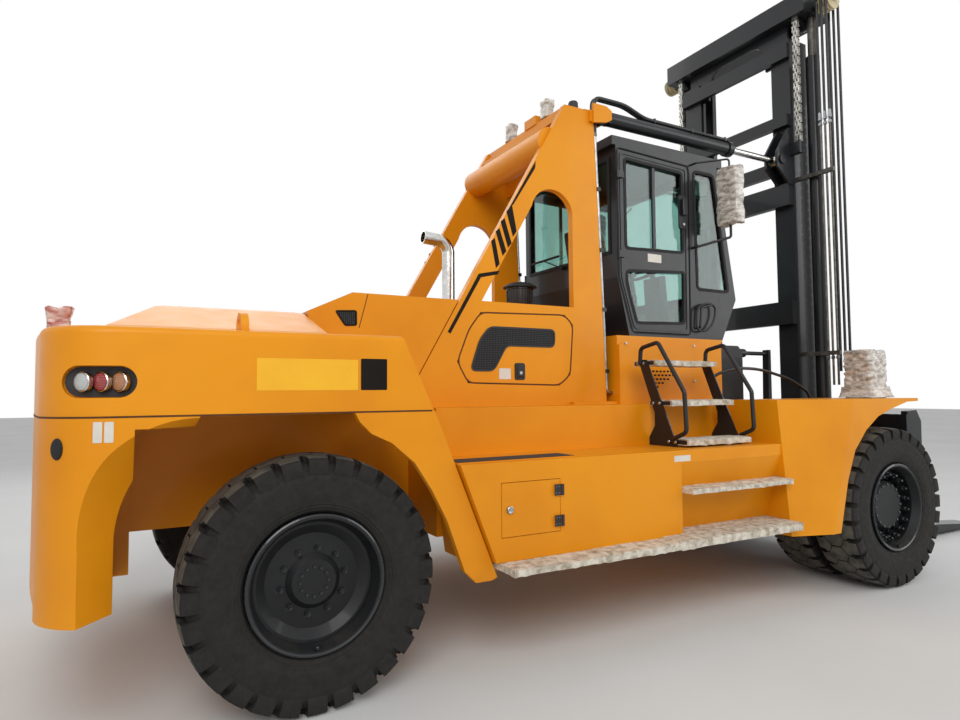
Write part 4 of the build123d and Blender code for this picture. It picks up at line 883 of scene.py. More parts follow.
def buildCabTrim():
    facts = cabFacts
    y = facts["side"]
    for side, sign in sides:
        door = bmesh.new()
        for pane in (facts["doorWindow"], facts["doorLowPane"]):
            frameRing(door, roundedOutline(pane, 0.035), 0.014, -0.012, y - 0.014, sign, 0.018)
        sidePlate(door, roundedOutline(rectangle(*facts["plate"]), 0.006), y, sign, 0.0018, 1)
        # Raised stiffening frame of the door, latch housing and lock
        rim = roundedOutline(movedOutline(facts["doorEdge"], -0.024), 0.05)
        frameRing(door, rim, 0, -0.020, y, sign, 0.006, 2)
        sidePlate(door, roundedOutline(rectangle(*facts["latch"]), 0.02), y, sign, 0.012, 2, 0.06)
        turnShape(door, facts["barrel"], onSide(*facts["lock"], sign), (0, sign, 0), 16, 3)
        finishes = [sealRubber, labelWhite, blackEnamel, drawnSteel]
        finishPiece(door, f"cab_door_trim_{side}", finishes, f"cab_door_{side}")
        shell = bmesh.new()
        frameRing(shell, roundedOutline(facts["frontPane"], 0.045), 0.016, -0.012, y - 0.016, sign, 0.021)
        frameRing(shell, roundedOutline(facts["doorEdge"], 0.045), 0.010, 0.001, y - 0.020, sign, 0.024)
        finishPiece(shell, f"cab_side_trim_{side}", [sealRubber])
    rear = bmesh.new()
    half, low, high = facts["rearWindow"]
    rings = []
    for grow, x in facts["rearRubber"]:
        edge = rectangle(-half - grow, low - grow, half + grow, high + grow)
        rings.append([rear.verts.new((at(x), y, z)) for y, z in edge])
    joinRings(rear, rings, capped=False, closed=True)
    for run, radius, steps in (("wiperMotor", 0.022, 14), ("wiperArm", 0.006, 8)):
        sweepTube(rear, [(at(x), y, z) for x, y, z in facts[run]], radius, steps)
    addBlock(rear, sideBox(*facts["wiperBlade"]))
    finishPiece(rear, "cab_rear_trim", [sealRubber])


buildCabTrim()
print("cab trimmed")


# Tail: lamps in their dark dishes, wrapped beacon, blank panels and rubber plugs
tailFacts = {
    "middle": (-1.030, 1.522, 1.770),
    "turn": -12.7,
    "swing": 33.0,
    "depth": 0.046,
    "pitch": 0.078,
    "radius": 0.045,
    "dish": (0.082, 0.071, 0.004),  # half length between the round ends, their radius, thickness
    "shift": 0.012,
    "proud": 0.006,
}


def buildTailLamps():
    facts = tailFacts
    turn, swing, bowl = math.radians(facts["turn"]), math.radians(facts["swing"]), facts["radius"]
    half, radius, thick = facts["dish"]
    end = [(half + radius * math.cos(angle), radius * math.sin(angle))
           for angle in (math.pi * (k / 8 - 0.5) for k in range(9))]
    dish = end + [(-x, -z) for x, z in end]
    rim = [(bowl + 0.003, 0.002), (bowl + 0.003, 0.024), (bowl - 0.001, 0.027), (bowl - 0.003, 0.022)]
    lens = [(bowl - 0.003, 0.020), (bowl * 0.86, 0.029), (bowl * 0.6, 0.034), (bowl * 0.3, 0.0365),
            (0.001, 0.037)]
    for side, sign in sides:
        shape = bmesh.new()
        along = Vector((math.cos(turn), -sign * math.sin(turn), 0))
        outward = Vector((0, 0, 1)).cross(along) * sign
        back = onSide(*facts["middle"], sign) - outward * facts["depth"]
        facing = (outward * math.cos(swing) - along * math.sin(swing)).normalized()
        addPrism(shape, dish, placed(back, along, Vector((0, 0, 1)), outward), thick)
        for step, finish in ((-1, 2), (0, 3), (1, 4)):
            seat = back + along * (step * facts["pitch"] + facts["shift"]) + outward * facts["proud"]
            turnShape(shape, rim, seat, facing, 28, 1, False)
            turnShape(shape, lens, seat, facing, 28, finish)
        finishes = [blackPlastic, chromePlate, clearLens, redLens, amberLens]
        piece = finishPiece(shape, f"tail_lamp_set_{side}", finishes, sharp=34)
        if side == "right":
            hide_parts("tail_lamps")


beaconFacts = {
    "foot": (-1.300, 0, 2.035),
    "profile": [(0.075, 0), (0.078, 0.012), (0.070, 0.020), (0.066, 0.060), (0.060, 0.066), (0.058, 0.074),
                (0.060, 0.150), (0.056, 0.190), (0.036, 0.210), (0.010, 0.218)],
    "lensFrom": 0.070,
}


def buildRearBeacon():
    facts = beaconFacts
    foot = onSide(*facts["foot"], 1)
    shape = bmesh.new()
    turnShape(shape, facts["profile"], foot, (0, 0, 1))
    for face in shape.faces:
        face.material_index = 1 if face.calc_center_median().z > foot.z + facts["lensFrom"] else 0
    finishPiece(shape, "rear_beacon", [blackPlastic, redLens], sharp=34)
    film = bmesh.new()
    wrapBox(film, sideBox(*wrapFacts["beacon"]), 21.0, 0.30, 0.022, 0.020)
    filmSkirt(film, sideBox(*wrapFacts["beaconSkirt"]), 0.030, 0.07, 5.0)
    finishPiece(film, "rear_beacon_wrap", [pinkFilm], sharp=60, close=False)


sidePlateFacts = {
    "castingY": 1.550,
    "yellow": (-0.332, 1.726, 0.205, 1.893),
    "black": (0.222, 1.726, 0.375, 1.900),
    "bend": 0.006,
    "tankY": 1.595,
    "white": (2.530, 1.203, 2.690, 1.246),
    "plug": (-1.1925, 1.4545, 1.461),
    "plugShape": [(0.049, -0.004), (0.050, 0.004), (0.046, 0.009), (0.030, 0.012), (0.001, 0.012)],
    "plugFacing": (-0.7, 0.714),
    "squash": 0.36,
}


def buildSidePlates():
    facts = sidePlateFacts
    forward, out = facts["plugFacing"]
    for side, sign in sides:
        shape = bmesh.new()
        for finish, name in enumerate(("yellow", "black")):
            panel = roundedOutline(rectangle(*facts[name]), facts["bend"])
            flatMark(shape, panel, facts["castingY"], sign, finish)
        flatMark(shape, rectangle(*facts["white"]), facts["tankY"], sign, 2)
        # Rubber plug, squashed along the level of the casting
        plug = onSide(*facts["plug"], sign)
        before = set(shape.verts)
        turnShape(shape, facts["plugShape"], plug, (forward, sign * out, 0), 28, 3)
        level = Vector((out, -sign * forward, 0))
        for vert in set(shape.verts) - before:
            vert.co -= level * (vert.co - plug).dot(level) * facts["squash"]
        finishes = [panelYellow, stripeBlackAndSlotShade, labelWhite, sealRubber]
        finishPiece(shape, f"side_plates_{side}", finishes, sharp=34)


buildTailLamps()
buildRearBeacon()
buildSidePlates()
print("tail dressed")


# Steps: foam-wrapped boards and treads, ladder bolts, anti-slip strips
stepFacts = {
    "board": ((1.380, 1.775), (0.646, 0.680)),  # distances from the middle plane, heights
    "joints": (1.071, 1.771, 2.423, 3.694),
    "lap": 0.006,
    "overlap": 0.02,
    "midTread": ((2.600, 3.691), (1.500, 1.705), (0.975, 1.021)),
    "ladder": (2.790, 3.490),
    "treads": ((1.952, 1.010), (1.630, 1.180), (1.335, 1.340)),  # height, distance from the middle plane
    "boltShifts": (-0.038, 0.030),
    "strip": ((0.835, 1.695), (1.340, 1.530), (1.2872, 1.2905)),
}


def buildSteps():
    facts = stepFacts
    boards, ladder, bolts, strip = (bmesh.new() for _ in range(4))
    across, (bottom, top) = facts["board"]
    start, end = facts["ladder"]
    for _, sign in sides:
        for number, (first, last) in enumerate(zip(facts["joints"], facts["joints"][1:])):
            lap = facts["lap"] * number
            run = (first - facts["overlap"] * (number > 0), last)
            box = sideBox(run, across, (bottom - 0.012 - lap / 2, top + 0.002 + lap), sign)
            foamTread(boards, box, 2.0 + 5 * number)
        foamTread(boards, sideBox(*facts["midTread"], sign), 11.0)
        for number, (z, y) in enumerate(facts["treads"]):
            box = sideBox((start + 0.002, end - 0.004), (y - 0.096, y + 0.150), (z - 0.040, z + 0.012), sign)
            foamTread(ladder, box, 17.0 + number)
            for x, way in ((start - 0.010, -1), (end + 0.010, 1)):
                for shift in facts["boltShifts"]:
                    hexNut(bolts, onSide(x, y + shift, z - 0.016, sign), (way, 0, 0), 0.024, 0.012)
        addBlock(strip, sideBox(*facts["strip"], sign))
    piece = finishPiece(boards, "foam_boards", [packingFoam], sharp=42)
    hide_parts("step_boards")
    finishPiece(ladder, "foam_treads", [packingFoam], sharp=42)
    finishPiece(bolts, "ladder_bolts", [drawnSteel])
    finishPiece(strip, "anti_slip_strips", [gritTape])


buildSteps()
print("steps wrapped")


# Mast: leaf chains link by link, pipe unions, hose reels
chainFacts = {
    "pitch": 0.0508,
    "plateDepth": 0.042,
    "plateReach": 0.0165,
    "plateWide": 0.0145,
    "rowPitch": 0.0155,
    "width": 0.062,
    "pinRadius": 0.0062,
    "y": 0.797,
    "pulley": (5.365, 5.650),
    "radius": 0.1433,
    "anchorZ": 4.292,
    "footZ": 1.484,
}


def chainPins(facts):
    # Pin centres: up the rear run, over the pulley, down the front run
    (x, top), radius = facts["pulley"], facts["radius"]
    up, wrap, down = top - facts["anchorZ"], math.pi * radius, top - facts["footZ"]
    pins = []
    for index in range(int((up + wrap + down) / facts["pitch"])):
        along = (index + 0.5) * facts["pitch"]
        angle = math.pi - min(max(along - up, 0), wrap) / radius
        below = max(up - along, 0) + max(along - up - wrap, 0)
        pins.append(Vector((at(x) + radius * math.cos(angle), 0, top + radius * math.sin(angle) - below)))
    return pins


def buildLeafChains():
    facts = chainFacts
    pins = chainPins(facts)
    reach, deep = facts["plateReach"], facts["plateDepth"] / 2
    for side, sign in sides:
        shape = bmesh.new()
        low = sign * facts["y"] - facts["width"] / 2
        for index, (start, end) in enumerate(zip(pins, pins[1:])):
            along = (end - start).normalized()
            length = (end - start).length
            edge = [(-reach, -deep * 0.6), (0, -deep), (length / 2, -deep * 0.72), (length, -deep),
                    (length + reach, -deep * 0.6)]
            plate = edge + [(x, -y) for x, y in edge[::-1]]
            for slot in ((0, 2), (1, 3))[index % 2]:
                seat = start + Vector((0, low + slot * facts["rowPitch"] + 0.0005, 0))
                place = placed(seat, along, along.cross(Vector((0, 1, 0))), Vector((0, 1, 0)))
                addPrism(shape, plate, place, facts["plateWide"])
            ends = [start + Vector((0, low + y, 0)) for y in (-0.001, facts["width"] + 0.001)]
            sweepTube(shape, ends, facts["pinRadius"], 8, 1)
        finishes = [chainSteel, greasedPin]
        piece = finishPiece(shape, f"leaf_chain_{side}", finishes, "inner_mast")
        if side == "right":
            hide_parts("lift_chains")


hoseFacts = {
    "x": 5.365,
    "z": 5.700,
    "lines": (1.010, 1.060, 1.110),
    "reach": 0.1013,
    "unions": ((4.454, 0.038, 0.030), (4.484, 0.032, 0.050), (4.400, 0.036, 0.026), (2.020, 0.034, 0.028)),
    "reel": [(0.030, 0), (0.098, 0), (0.100, 0.004), (0.090, 0.010), (0.0865, 0.020), (0.090, 0.030),
             (0.100, 0.036), (0.098, 0.040), (0.030, 0.040)],
    "reelIn": 0.020,
    "shaft": [(0.018, -0.01), (0.018, 0.240), (0.001, 0.244)],
    "shaftY": 0.950,
    "nutY": 1.150,
}


def buildMastFittings():
    facts = hoseFacts
    x, top = facts["x"], facts["z"]
    unions = bmesh.new()
    for y in facts["lines"]:
        for z, across, tall in facts["unions"]:
            hexNut(unions, onSide(x - facts["reach"], y, z, -1), (0, 0, 1), across, tall)
    finishPiece(unions, "pipe_unions", [drawnSteel], "outer_mast")
    rollers = bmesh.new()
    for _, sign in sides:
        for y in facts["lines"]:
            turnShape(rollers, facts["reel"], onSide(x, y - facts["reelIn"], top, sign), (0, sign, 0))
        turnShape(rollers, facts["shaft"], onSide(x, facts["shaftY"], top, sign), (0, sign, 0), 16, 1)
        hexNut(rollers, onSide(x, facts["nutY"], top, sign), (0, sign, 0), 0.046, 0.026, 1)
    finishes = [creamNylon, blackEnamel]
    piece = finishPiece(rollers, "hose_reel_rollers", finishes, "inner_mast", 34)
    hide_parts("hose_rollers")


buildLeafChains()
buildMastFittings()
print("mast fitted")


# Lamps under stretch film, and the bare beacon on the tower
towerBeacon = {
    "foot": (2.440, -0.600, 4.125),
    "profile": [(0.050, 0), (0.052, 0.010), (0.044, 0.016), (0.042, 0.072), (0.034, 0.084), (0.001, 0.086)],
}


def buildLampWraps():
    for side, sign in sides:
        shape = bmesh.new()
        wrapBox(shape, sideBox(*wrapFacts["lamp"], sign), 4.0 + sign, 0.07, 0.022, 0.017)
        filmSkirt(shape, sideBox(*wrapFacts["lampSkirt"], sign), 0.045, 0.10, 3.0 + sign)
        piece = finishPiece(shape, f"lamp_wrap_{side}", [wrapFilm], sharp=180, close=False)
        if side == "right":
            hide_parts("front_lamps")
    shape = bmesh.new()
    for number, box in enumerate(wrapFacts["towerLamps"]):
        wrapBox(shape, sideBox(*box), 8.0 + number, 0.12, 0.014, 0.018)
    finishPiece(shape, "tower_lamp_wraps", [wrapFilm], sharp=180, close=False)
    shape = bmesh.new()
    turnShape(shape, towerBeacon["profile"], onSide(*towerBeacon["foot"], 1), (0, 0, 1), 28)
    finishPiece(shape, "tower_beacon", [blackPlastic], sharp=34)


buildLampWraps()
print("lamps wrapped")


# Driver's seat: two padded pieces on a suspension box, swollen by cloth pressure
seatFacts = {
    "seat_cushion": [(3.034, 2.566), (3.484, 2.566), (3.490, 2.640), (3.460, 2.668), (3.034, 2.668)],
    "seat_back": [(3.030, 2.694), (3.118, 2.694), (3.002, 3.312), (2.924, 3.312)],
    "half": 0.243,
    "corner": 0.035,
    "edge": 0.022,
    "voxel": 0.006,
    "pressure": 4,
    "steps": 20,
    "cap": 0.011,
    "channels": (0.13, -0.13),
    "channelWide": 0.012,
    "channelDeep": 0.007,
    "kept": 0.3,
    "box": ((3.080, 3.420), (-0.230, 0.230), (2.196, 2.330)),
    "plate": ((3.075, 3.425), (-0.235, 0.235), (2.536, 2.560)),
    "bellows": (3.090, 3.410, 0.215),
    "folds": 6,
    "foldPitch": 0.034,
    "foldIn": 0.012,
}


def applyModifiers(pad):
    graph = bpy.context.evaluated_depsgraph_get()
    mesh = bpy.data.meshes.new_from_object(pad.evaluated_get(graph))
    pad.modifiers.clear()
    pad.data = mesh


def swellPad(pad):
    # Cloth under pressure, no point moving further than the cap
    start = [vert.co.copy() for vert in pad.data.vertices]
    cloth = pad.modifiers.new("cloth", "CLOTH")
    cloth.settings.use_pressure = True
    cloth.settings.uniform_pressure_force = seatFacts["pressure"]
    cloth.settings.effector_weights.gravity = 0
    for step in range(1, seatFacts["steps"] + 1):
        bpy.context.scene.frame_set(step)
    applyModifiers(pad)
    for vert, rest in zip(pad.data.vertices, start):
        move = vert.co - rest
        if move.length > seatFacts["cap"]:
            vert.co = rest + move.normalized() * seatFacts["cap"]


def buildPad(name):
    facts = seatFacts
    half = facts["half"]
    shape = bmesh.new()
    place = Matrix(((1, 0, 0, 0), (0, 0, 1, -half), (0, 1, 0, 0), (0, 0, 0, 1)))
    addPrism(shape, [(at(x), z) for x, z in roundedOutline(facts[name], facts["corner"])], place, 2 * half)
    bmesh.ops.recalc_face_normals(shape, faces=shape.faces)
    rims = [edge for edge in shape.edges if abs(edge.verts[0].co.y - edge.verts[1].co.y) < 1e-6]
    bmesh.ops.bevel(shape, geom=rims, offset=facts["edge"], segments=3, affect="EDGES")
    mesh = bpy.data.meshes.new(name)
    shape.to_mesh(mesh)
    shape.free()
    pad = bpy.data.objects.new(name, mesh)
    bpy.context.scene.collection.objects.link(pad)
    remesh = pad.modifiers.new("remesh", "REMESH")
    remesh.mode = "VOXEL"
    remesh.voxel_size = facts["voxel"]
    applyModifiers(pad)
    swellPad(pad)
    for vert in pad.data.vertices:
        # Sewn channels draw the cover in along two lines
        for line in facts["channels"]:
            gap = (vert.co.y - line) / facts["channelWide"]
            if abs(gap) < 3:
                vert.co -= vert.normal * facts["channelDeep"] * math.exp(-gap * gap)
    thin = pad.modifiers.new("thin", "DECIMATE")
    thin.ratio = facts["kept"]
    smooth = pad.modifiers.new("smooth", "SUBSURF")
    smooth.levels = smooth.render_levels = 1
    applyModifiers(pad)
    for face in pad.data.polygons:
        face.use_smooth = True
    pad.data.materials.clear()
    pad.data.materials.append(seatCloth)
    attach(pad, "chassis")


def buildSeat():
    facts = seatFacts
    for name in ("seat_cushion", "seat_back"):
        buildPad(name)
    shape = bmesh.new()
    addBlock(shape, sideBox(*facts["box"]))
    start, end, half = facts["bellows"]
    for level in range(facts["folds"]):
        inset = facts["foldIn"] * (level % 2)
        rise = [facts["box"][2][1] + facts["foldPitch"] * (level + k) for k in (0, 1)]
        addBlock(shape, sideBox((start + inset, end - inset), (inset - half, half - inset), rise))
    addBlock(shape, sideBox(*facts["plate"]))
    base = finishPiece(shape, "seat_suspension", [blackPlastic], bevel=0.003)
    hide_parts("driver_seat")


buildSeat()
print("seat padded")


# Small fittings
cleanerFacts = {
    "foot": (2.130, -0.200, 2.408),
    "bowl": [(0.122, 0), (0.124, 0.016), (0.112, 0.022), (0.100, 0.030), (0.108, 0.060), (0.113, 0.150),
             (0.114, 0.196), (0.118, 0.200), (0.118, 0.212), (0.100, 0.214)],
    "ribs": 26,
    "ribPath": ((0.104, 0.044), (0.1125, 0.100), (0.1155, 0.194)),  # radius, height
    "ribRadius": 0.0042,
    "cap": [(0.100, 0.212), (0.126, 0.214), (0.148, 0.216), (0.150, 0.224), (0.142, 0.232), (0.126, 0.238),
            (0.110, 0.252), (0.074, 0.262), (0.030, 0.265), (0.001, 0.265)],
    "knob": [(0.014, 0.262), (0.014, 0.278), (0.001, 0.280)],
}


def buildPreCleaner():
    facts = cleanerFacts
    shape = bmesh.new()
    foot = onSide(*facts["foot"], 1)
    turnShape(shape, facts["bowl"], foot, (0, 0, 1), 40, 1)
    for turn in fullTurn(facts["ribs"]):
        rib = [foot + Vector((out * math.cos(turn), out * math.sin(turn), z)) for out, z in facts["ribPath"]]
        sweepTube(shape, rib, facts["ribRadius"], 6, 1)
    turnShape(shape, facts["cap"], foot, (0, 0, 1), 40)
    turnShape(shape, facts["knob"], foot, (0, 0, 1), 12, 2)
    finishes = [blackPlastic, bowlPlastic, drawnSteel]
    piece = finishPiece(shape, "pre_cleaner", finishes, sharp=40)
    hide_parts("air_cleaner")


# Hydraulic lines down the front edge of the tower plate, which leans back by 98 mm
pipeFacts = {
    "foot": (2.690, 1.605),  # station and height of the plate edge
    "rise": 2.520,
    "lean": -0.098,
    "lines": (0.634, 0.668),
    "clampZ": (3.450, 2.923, 2.411, 1.884),
    "clampY": (0.612, 0.690),
    "boltY": 0.651,
    "headZ": 3.950,
    "headOut": 0.016,
    "head": [(0.0165, 0), (0.0175, 0.004), (0.0175, 0.060), (0.0150, 0.064)],
}


def plateEdge(z):
    station, bottom = pipeFacts["foot"]
    return station + pipeFacts["lean"] * (z - bottom) / pipeFacts["rise"]


pipeHeadX = plateEdge(pipeFacts["headZ"]) + pipeFacts["headOut"]


def buildPipeClamps():
    facts = pipeFacts
    shape = bmesh.new()
    for _, sign in sides:
        for z in facts["clampZ"]:
            edge = plateEdge(z)
            face = edge + 0.036
            addBlock(shape, sideBox((edge + 0.001, face), facts["clampY"], (z - 0.016, z + 0.016), sign))
            hexNut(shape, onSide(face, facts["boltY"], z, sign), (1, 0, 0), 0.016, 0.010, 1)
        for y in facts["lines"]:
            head = onSide(pipeHeadX, y, facts["headZ"], sign)
            hexNut(shape, head - Vector((0, 0, 0.035)), (0, 0, 1), 0.034, 0.034, 1)
            turnShape(shape, facts["head"], head, (0, 0, 1), 14, 0, False)
    finishPiece(shape, "pipe_clamps", [blackEnamel, zincSteel])


pedestalFacts = {
    "y": 0.770,
    "rows": ((1.884, 3.125, 3.449), (1.850, 3.125, 3.410), (1.816, 3.125, 3.360), (1.782, 3.125, 3.300),
             (1.748, 3.125, 3.230)),  # height, first and last station
    "pitch": 0.043,
    "slot": (0.029, 0.008),
    "bolts": ((3.640, 2.120), (3.640, 1.800), (2.830, 2.120)),
}


def buildPedestalVents():
    facts = pedestalFacts
    length, half = facts["slot"]
    for side, sign in sides:
        shape = bmesh.new()
        for number, (z, start, end) in enumerate(facts["rows"]):
            x = start + facts["pitch"] * 0.5 * (number % 2)
            while x + length - 0.001 < end:
                slot = roundedOutline(rectangle(x, z - half, x + length, z + half), 0.007, 2)
                # Each vent slot is a thin dark film: painted shade where the slot opens into the pedestal
                flatMark(shape, slot, facts["y"], sign, 0, 0.0008, 0.0008)
                x += facts["pitch"]
        for x, z in facts["bolts"]:
            hexNut(shape, onSide(x, facts["y"], z, sign), (0, sign, 0), 0.022, 0.010, 1)
        finishPiece(shape, f"pedestal_vents_{side}", [stripeBlackAndSlotShade, drawnSteel])


hoodFacts = {
    "y": 0.680,
    "vent": [(0.338, 2.271), (0.479, 2.279), (0.480, 2.182), (0.402, 2.178)],
    "bend": 0.012,
    "seam": [(0.5632, 2.403), (0.5692, 2.403), (0.5042, 2.162), (0.4982, 2.162)],
}


def buildHoodTrim():
    facts = hoodFacts
    for side, sign in sides:
        shape = bmesh.new()
        rim = roundedOutline(facts["vent"], facts["bend"], 3)
        flatMark(shape, rim, facts["y"], sign, 1, 0.001, 0.002)
        frameRing(shape, rim, 0.006, -0.004, facts["y"], sign, 0.005)
        # Seam line of painted shade in the hood's panel gap
        flatMark(shape, facts["seam"], facts["y"], sign, 2, 0.0006, 0.0006)
        finishPiece(shape, f"hood_trim_{side}", [stripeBlackAndSlotShade, meshSteel, jointShade])


deckHoseFacts = {
    "route": [(3.700, -0.880, 1.790), (3.780, -0.900, 1.860), (3.993, -0.940, 1.917), (4.307, -0.950, 1.911),
              (4.738, -0.950, 1.819), (4.990, -0.950, 1.700), (5.030, -0.950, 1.640)],
    "bend": 0.16,
    "radius": 0.014,
}


def buildDeckHose():
    # Hydraulic hose that arches from the pedestal to the mast foot
    facts = deckHoseFacts
    shape = bmesh.new()
    path = roundedPath([onSide(*spot, 1) for spot in facts["route"]], facts["bend"])
    sweepTube(shape, path, facts["radius"], 12)
    finishPiece(shape, "deck_hose", [hoseRubber], sharp=60)


cabinFacts = {
    "fan": (4.000, 0.560, 3.690),
    "facing": (-0.45, 0.85, -0.15),
    "guard": [(0.086, -0.012), (0.092, 0), (0.092, 0.030), (0.084, 0.036), (0.080, 0.028)],
    "blades": [(0.082, 0.004), (0.080, 0.026), (0.050, 0.034), (0.001, 0.036)],
    "grab": [(3.700, 2.300), (3.712, 2.470), (3.800, 2.520), (3.905, 2.524), (3.950, 2.490), (3.940, 2.390),
             (3.880, 2.300), (3.800, 2.262), (3.730, 2.262)],
    "grabY": 0.758,
}


def buildCabFittings():
    # Round fan behind the front side pane, and the oval grab loop below it
    facts = cabinFacts
    shape = bmesh.new()
    for _, sign in sides:
        centre = onSide(*facts["fan"], sign)
        x, y, z = facts["facing"]
        facing = Vector((x, sign * y, z)).normalized()
        turnShape(shape, facts["guard"], centre, facing, 32, 0, False)
        turnShape(shape, facts["blades"], centre, facing, 32, 1)
        sweepTube(shape, [centre, centre - facing * 0.10 + Vector((0.02, 0, 0.06))], 0.012, 10)
        loop = [onSide(x, facts["grabY"], z, sign) for x, z in roundedOutline(facts["grab"], 0.05, 3)]
        sweepTube(shape, loop + loop[:2], 0.010, 10)
    finishPiece(shape, "cab_fittings", [blackPlastic, clearLens], sharp=40)


buildPreCleaner()
buildPipeClamps()
buildPedestalVents()
buildHoodTrim()
buildDeckHose()
buildCabFittings()
print("small fittings on")


# Tank door, casting seam, corner plates, hose sleeves
tankDoorFacts = {
    "x": (1.091, 1.531),
    "z": (0.824, 1.158),
    "hingeIn": 0.070,
    "leafHalf": 0.035,
    "screws": [(0.004, 0), (0.003, 0.003), (0.001, 0.003)],
    "lock": [(0.0235, -0.008), (0.0235, 0.002), (0.019, 0.005), (0.012, 0.002), (0.001, 0.002)],
}


def buildTankDoorTrim():
    facts = tankDoorFacts
    (x0, x1), (z0, z1), half = facts["x"], facts["z"], facts["leafHalf"]
    shape = bmesh.new()
    for z in (z0 + facts["hingeIn"], z1 - facts["hingeIn"]):
        addBlock(shape, sideBox((x1 - 0.054, x1 - 0.006), (1.6068, 1.6092), (z - half, z + half), -1))
        addBlock(shape, sideBox((x1 - 0.003, x1 + 0.0145), (1.6068, 1.6170), (z - half, z + half), -1))
        for x in (x1 - 0.042, x1 - 0.020):
            for rise in (-0.020, 0.020):
                turnShape(shape, facts["screws"], onSide(x, 1.609, z + rise, -1), (0, -1, 0), 8, 1)
    turnShape(shape, facts["lock"], onSide(x0 + 0.060, 1.605, (z0 + z1) / 2, -1), (0, -1, 0), 24, 1)
    finishPiece(shape, "tank_door_fittings", [blackPlastic, drawnSteel], "tank_door")


castingFacts = {
    "front": 0.655,
    "cornerX": -0.960,
    "cornerY": 1.220,
    "corner": 0.330,
    "backX": -1.385,
    "bow": 0.095,
    "seamZ": 1.605,
    "seam": ((-0.002, -0.0045), (0.0018, -0.0045), (0.0018, 0.0045), (-0.002, 0.0045)),  # outwards, upwards
    "backLimit": -1.3852,
    "plateStarts": (-1.052, -1.006),
    "plateIn": 0.020,
    "plateZ": 1.536,
    "plate": (-0.019, -0.048, 0.019, 0.048),
    "plateThick": 0.0012,
}


def seamPath():
    # Plan outline of the tail castings: straight sides, rounded corners, bowed back
    facts = castingFacts
    x, half, corner, bow = facts["cornerX"], facts["cornerY"], facts["corner"], facts["bow"]
    right = [(facts["front"], -half - corner), (x, -half - corner)]
    right += [(x - corner * math.sin(angle), -half - corner * math.cos(angle))
              for angle in (math.pi / 2 * step / 24 for step in range(1, 25))]
    # Circle through the two corners and the middle of the back
    radius = (half * half + bow * bow) / (2 * bow)
    back = [(facts["backX"] + radius - math.sqrt(radius * radius - y * y), y)
            for y in (-half + 2 * half * step / 30 for step in range(1, 30))]
    return [Vector((at(x), y)) for x, y in right + back + [(x, -y) for x, y in reversed(right)]]


def buildCastingSeam():
    # Painted shade in the joint between the two tail castings
    facts = castingFacts
    path = seamPath()
    shape = bmesh.new()
    rings = []
    for index, spot in enumerate(path):
        ahead = path[min(index + 1, len(path) - 1)] - path[max(index - 1, 0)]
        out = Vector((ahead.y, -ahead.x)).normalized()
        if out.dot(spot - Vector((at(0), 0))) < 0:
            out = -out
        ring = [(spot + out * push, facts["seamZ"] + rise) for push, rise in facts["seam"]]
        rings.append([shape.verts.new((max(edge.x, at(facts["backLimit"])), edge.y, z)) for edge, z in ring])
    joinRings(shape, rings)
    finishPiece(shape, "casting_seam", [jointShade])


def buildCornerLabels():
    # Blank plates on the corners of the lower casting
    facts = castingFacts
    up = Vector((0, 0, 1))
    for side, sign in sides:
        shape = bmesh.new()
        middle = onSide(facts["cornerX"], facts["cornerY"], facts["plateZ"], sign)
        for start in facts["plateStarts"]:
            turn = math.asin((facts["cornerX"] - start - facts["plateIn"]) / facts["corner"])
            outward = Vector((-math.sin(turn), sign * math.cos(turn), 0))
            place = placed(middle + outward * (facts["corner"] + 0.0003), up.cross(outward), up, outward)
            addPrism(shape, roundedOutline(rectangle(*facts["plate"]), 0.004, 2), place, facts["plateThick"])
        finishPiece(shape, f"corner_plates_{side}", [labelWhite])


sleeveFacts = {
    "radius": 0.0165,
    "bend": 0.075,
    "headZ": 4.007,
    "crest": (2.960, 4.265),
    "run": (3.200, 4.187),
    "endX": 4.285,
    "bands": (3.300, 3.780, 4.230),
    "band": (0.018, 0.036, 0.019),  # length, half width, half height
}


def buildHoseSleeves():
    # Rubber sleeves over the tilt hoses, and the bands that hold them
    facts = sleeveFacts
    (crestX, crest), (runX, run) = facts["crest"], facts["run"]
    length, half, tall = facts["band"]
    route = [(pipeHeadX, facts["headZ"]), (pipeHeadX, crest), (crestX, crest), (runX, run),
             (facts["endX"], run)]
    middle = pipeFacts["boltY"]
    for side, sign in sides:
        shape = bmesh.new()
        for y in pipeFacts["lines"]:
            path = [onSide(x, y, z, sign) for x, z in route]
            sweepTube(shape, roundedPath(path, facts["bend"]), facts["radius"])
        for x in facts["bands"]:
            across, rise = (middle - half, middle + half), (run - tall, run + tall)
            addBlock(shape, sideBox((x, x + length), across, rise, sign))
        finishPiece(shape, f"hose_sleeves_{side}", [hoseRubber], f"tilt_barrel_{side}", 40)


buildTankDoorTrim()
buildCastingSeam()
buildCornerLabels()
buildHoseSleeves()
print("doors and seams trimmed")


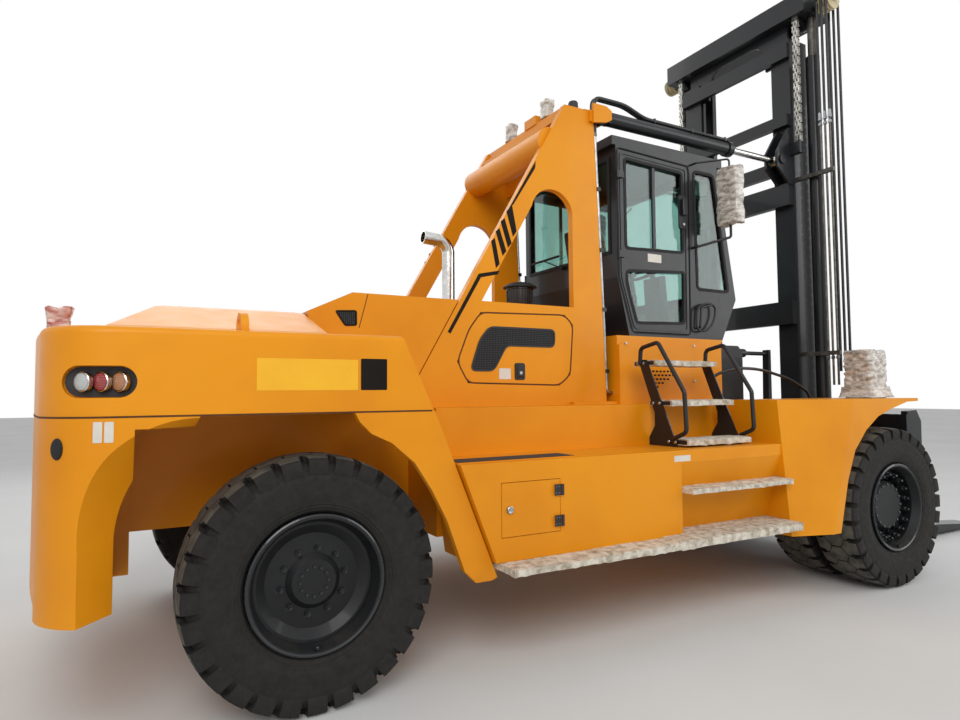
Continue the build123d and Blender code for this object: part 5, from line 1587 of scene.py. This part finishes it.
# Floor, light and background
stageFacts = {
    "floorHalf": 60,
    "ambient": 0.47,
    "softBoxes": [  # place, point aimed at, side in metres, power in watts
        ("keyLight", (-7.0, -11.0, 9.0), (0.0, 0.0, 1.5), 7.0, 800),
        ("fillLight", (9.0, -9.0, 6.0), (1.0, 0.0, 2.0), 6.0, 320),
        ("backLight", (-3.0, 10.0, 9.0), (0.0, 0.0, 2.0), 7.0, 300),
    ],
}


def buildStage():
    # Pale sealed floor, a little cloudy
    half = stageFacts["floorHalf"]
    mesh = bpy.data.meshes.new("floor")
    mesh.from_pydata([(x, y, 0) for x, y in rectangle(-half, -half, half, half)], [], [(0, 1, 2, 3)])
    floor = bpy.data.objects.new("floor", mesh)
    bpy.context.scene.collection.objects.link(floor)
    material, place = newMaterial("paleFloor")
    tone = grain(material, place, 2.5, 4, stops=[(0.3, srgb("#DEDFDE")), (0.7, srgb("#E6E7E6"))])
    mesh.materials.append(finishMaterial(material, tone, 0.75, None, {}))


def buildLight():
    # The camera, metal and glass see a white background; the object gets the ambient strength
    world = bpy.data.worlds.new("studio")
    bpy.context.scene.world = world
    world.use_nodes = True
    world.node_tree.nodes.clear()
    path = addNode(world, "LightPath", output="Is Camera Ray").node
    seen = addNode(world, "Math", {
        0: path.outputs["Is Camera Ray"], 1: path.outputs["Is Glossy Ray"]}, operation="MAXIMUM")
    shown = addNode(world, "Math", {0: seen, 1: path.outputs["Is Transmission Ray"]}, operation="MAXIMUM")
    strength = addNode(world, "MapRange", {"Value": shown, "To Min": stageFacts["ambient"], "To Max": 1.0})
    background = addNode(world, "Background", {"Color": (1, 1, 1, 1), "Strength": strength})
    addNode(world, "OutputWorld", {"Surface": background})
    for name, place, aim, side, power in stageFacts["softBoxes"]:
        lamp = bpy.data.lights.new(name, "AREA")
        lamp.shape = "SQUARE"
        lamp.size = side
        lamp.energy = power
        holder = bpy.data.objects.new(name, lamp)
        turn = (Vector(aim) - Vector(place)).to_track_quat("-Z", "Y")
        holder.matrix_world = Matrix.Translation(place) @ turn.to_matrix().to_4x4()
        bpy.context.scene.collection.objects.link(holder)


buildStage()
buildLight()
bpy.context.scene.view_settings.view_transform = "Standard"

print("stage ready")
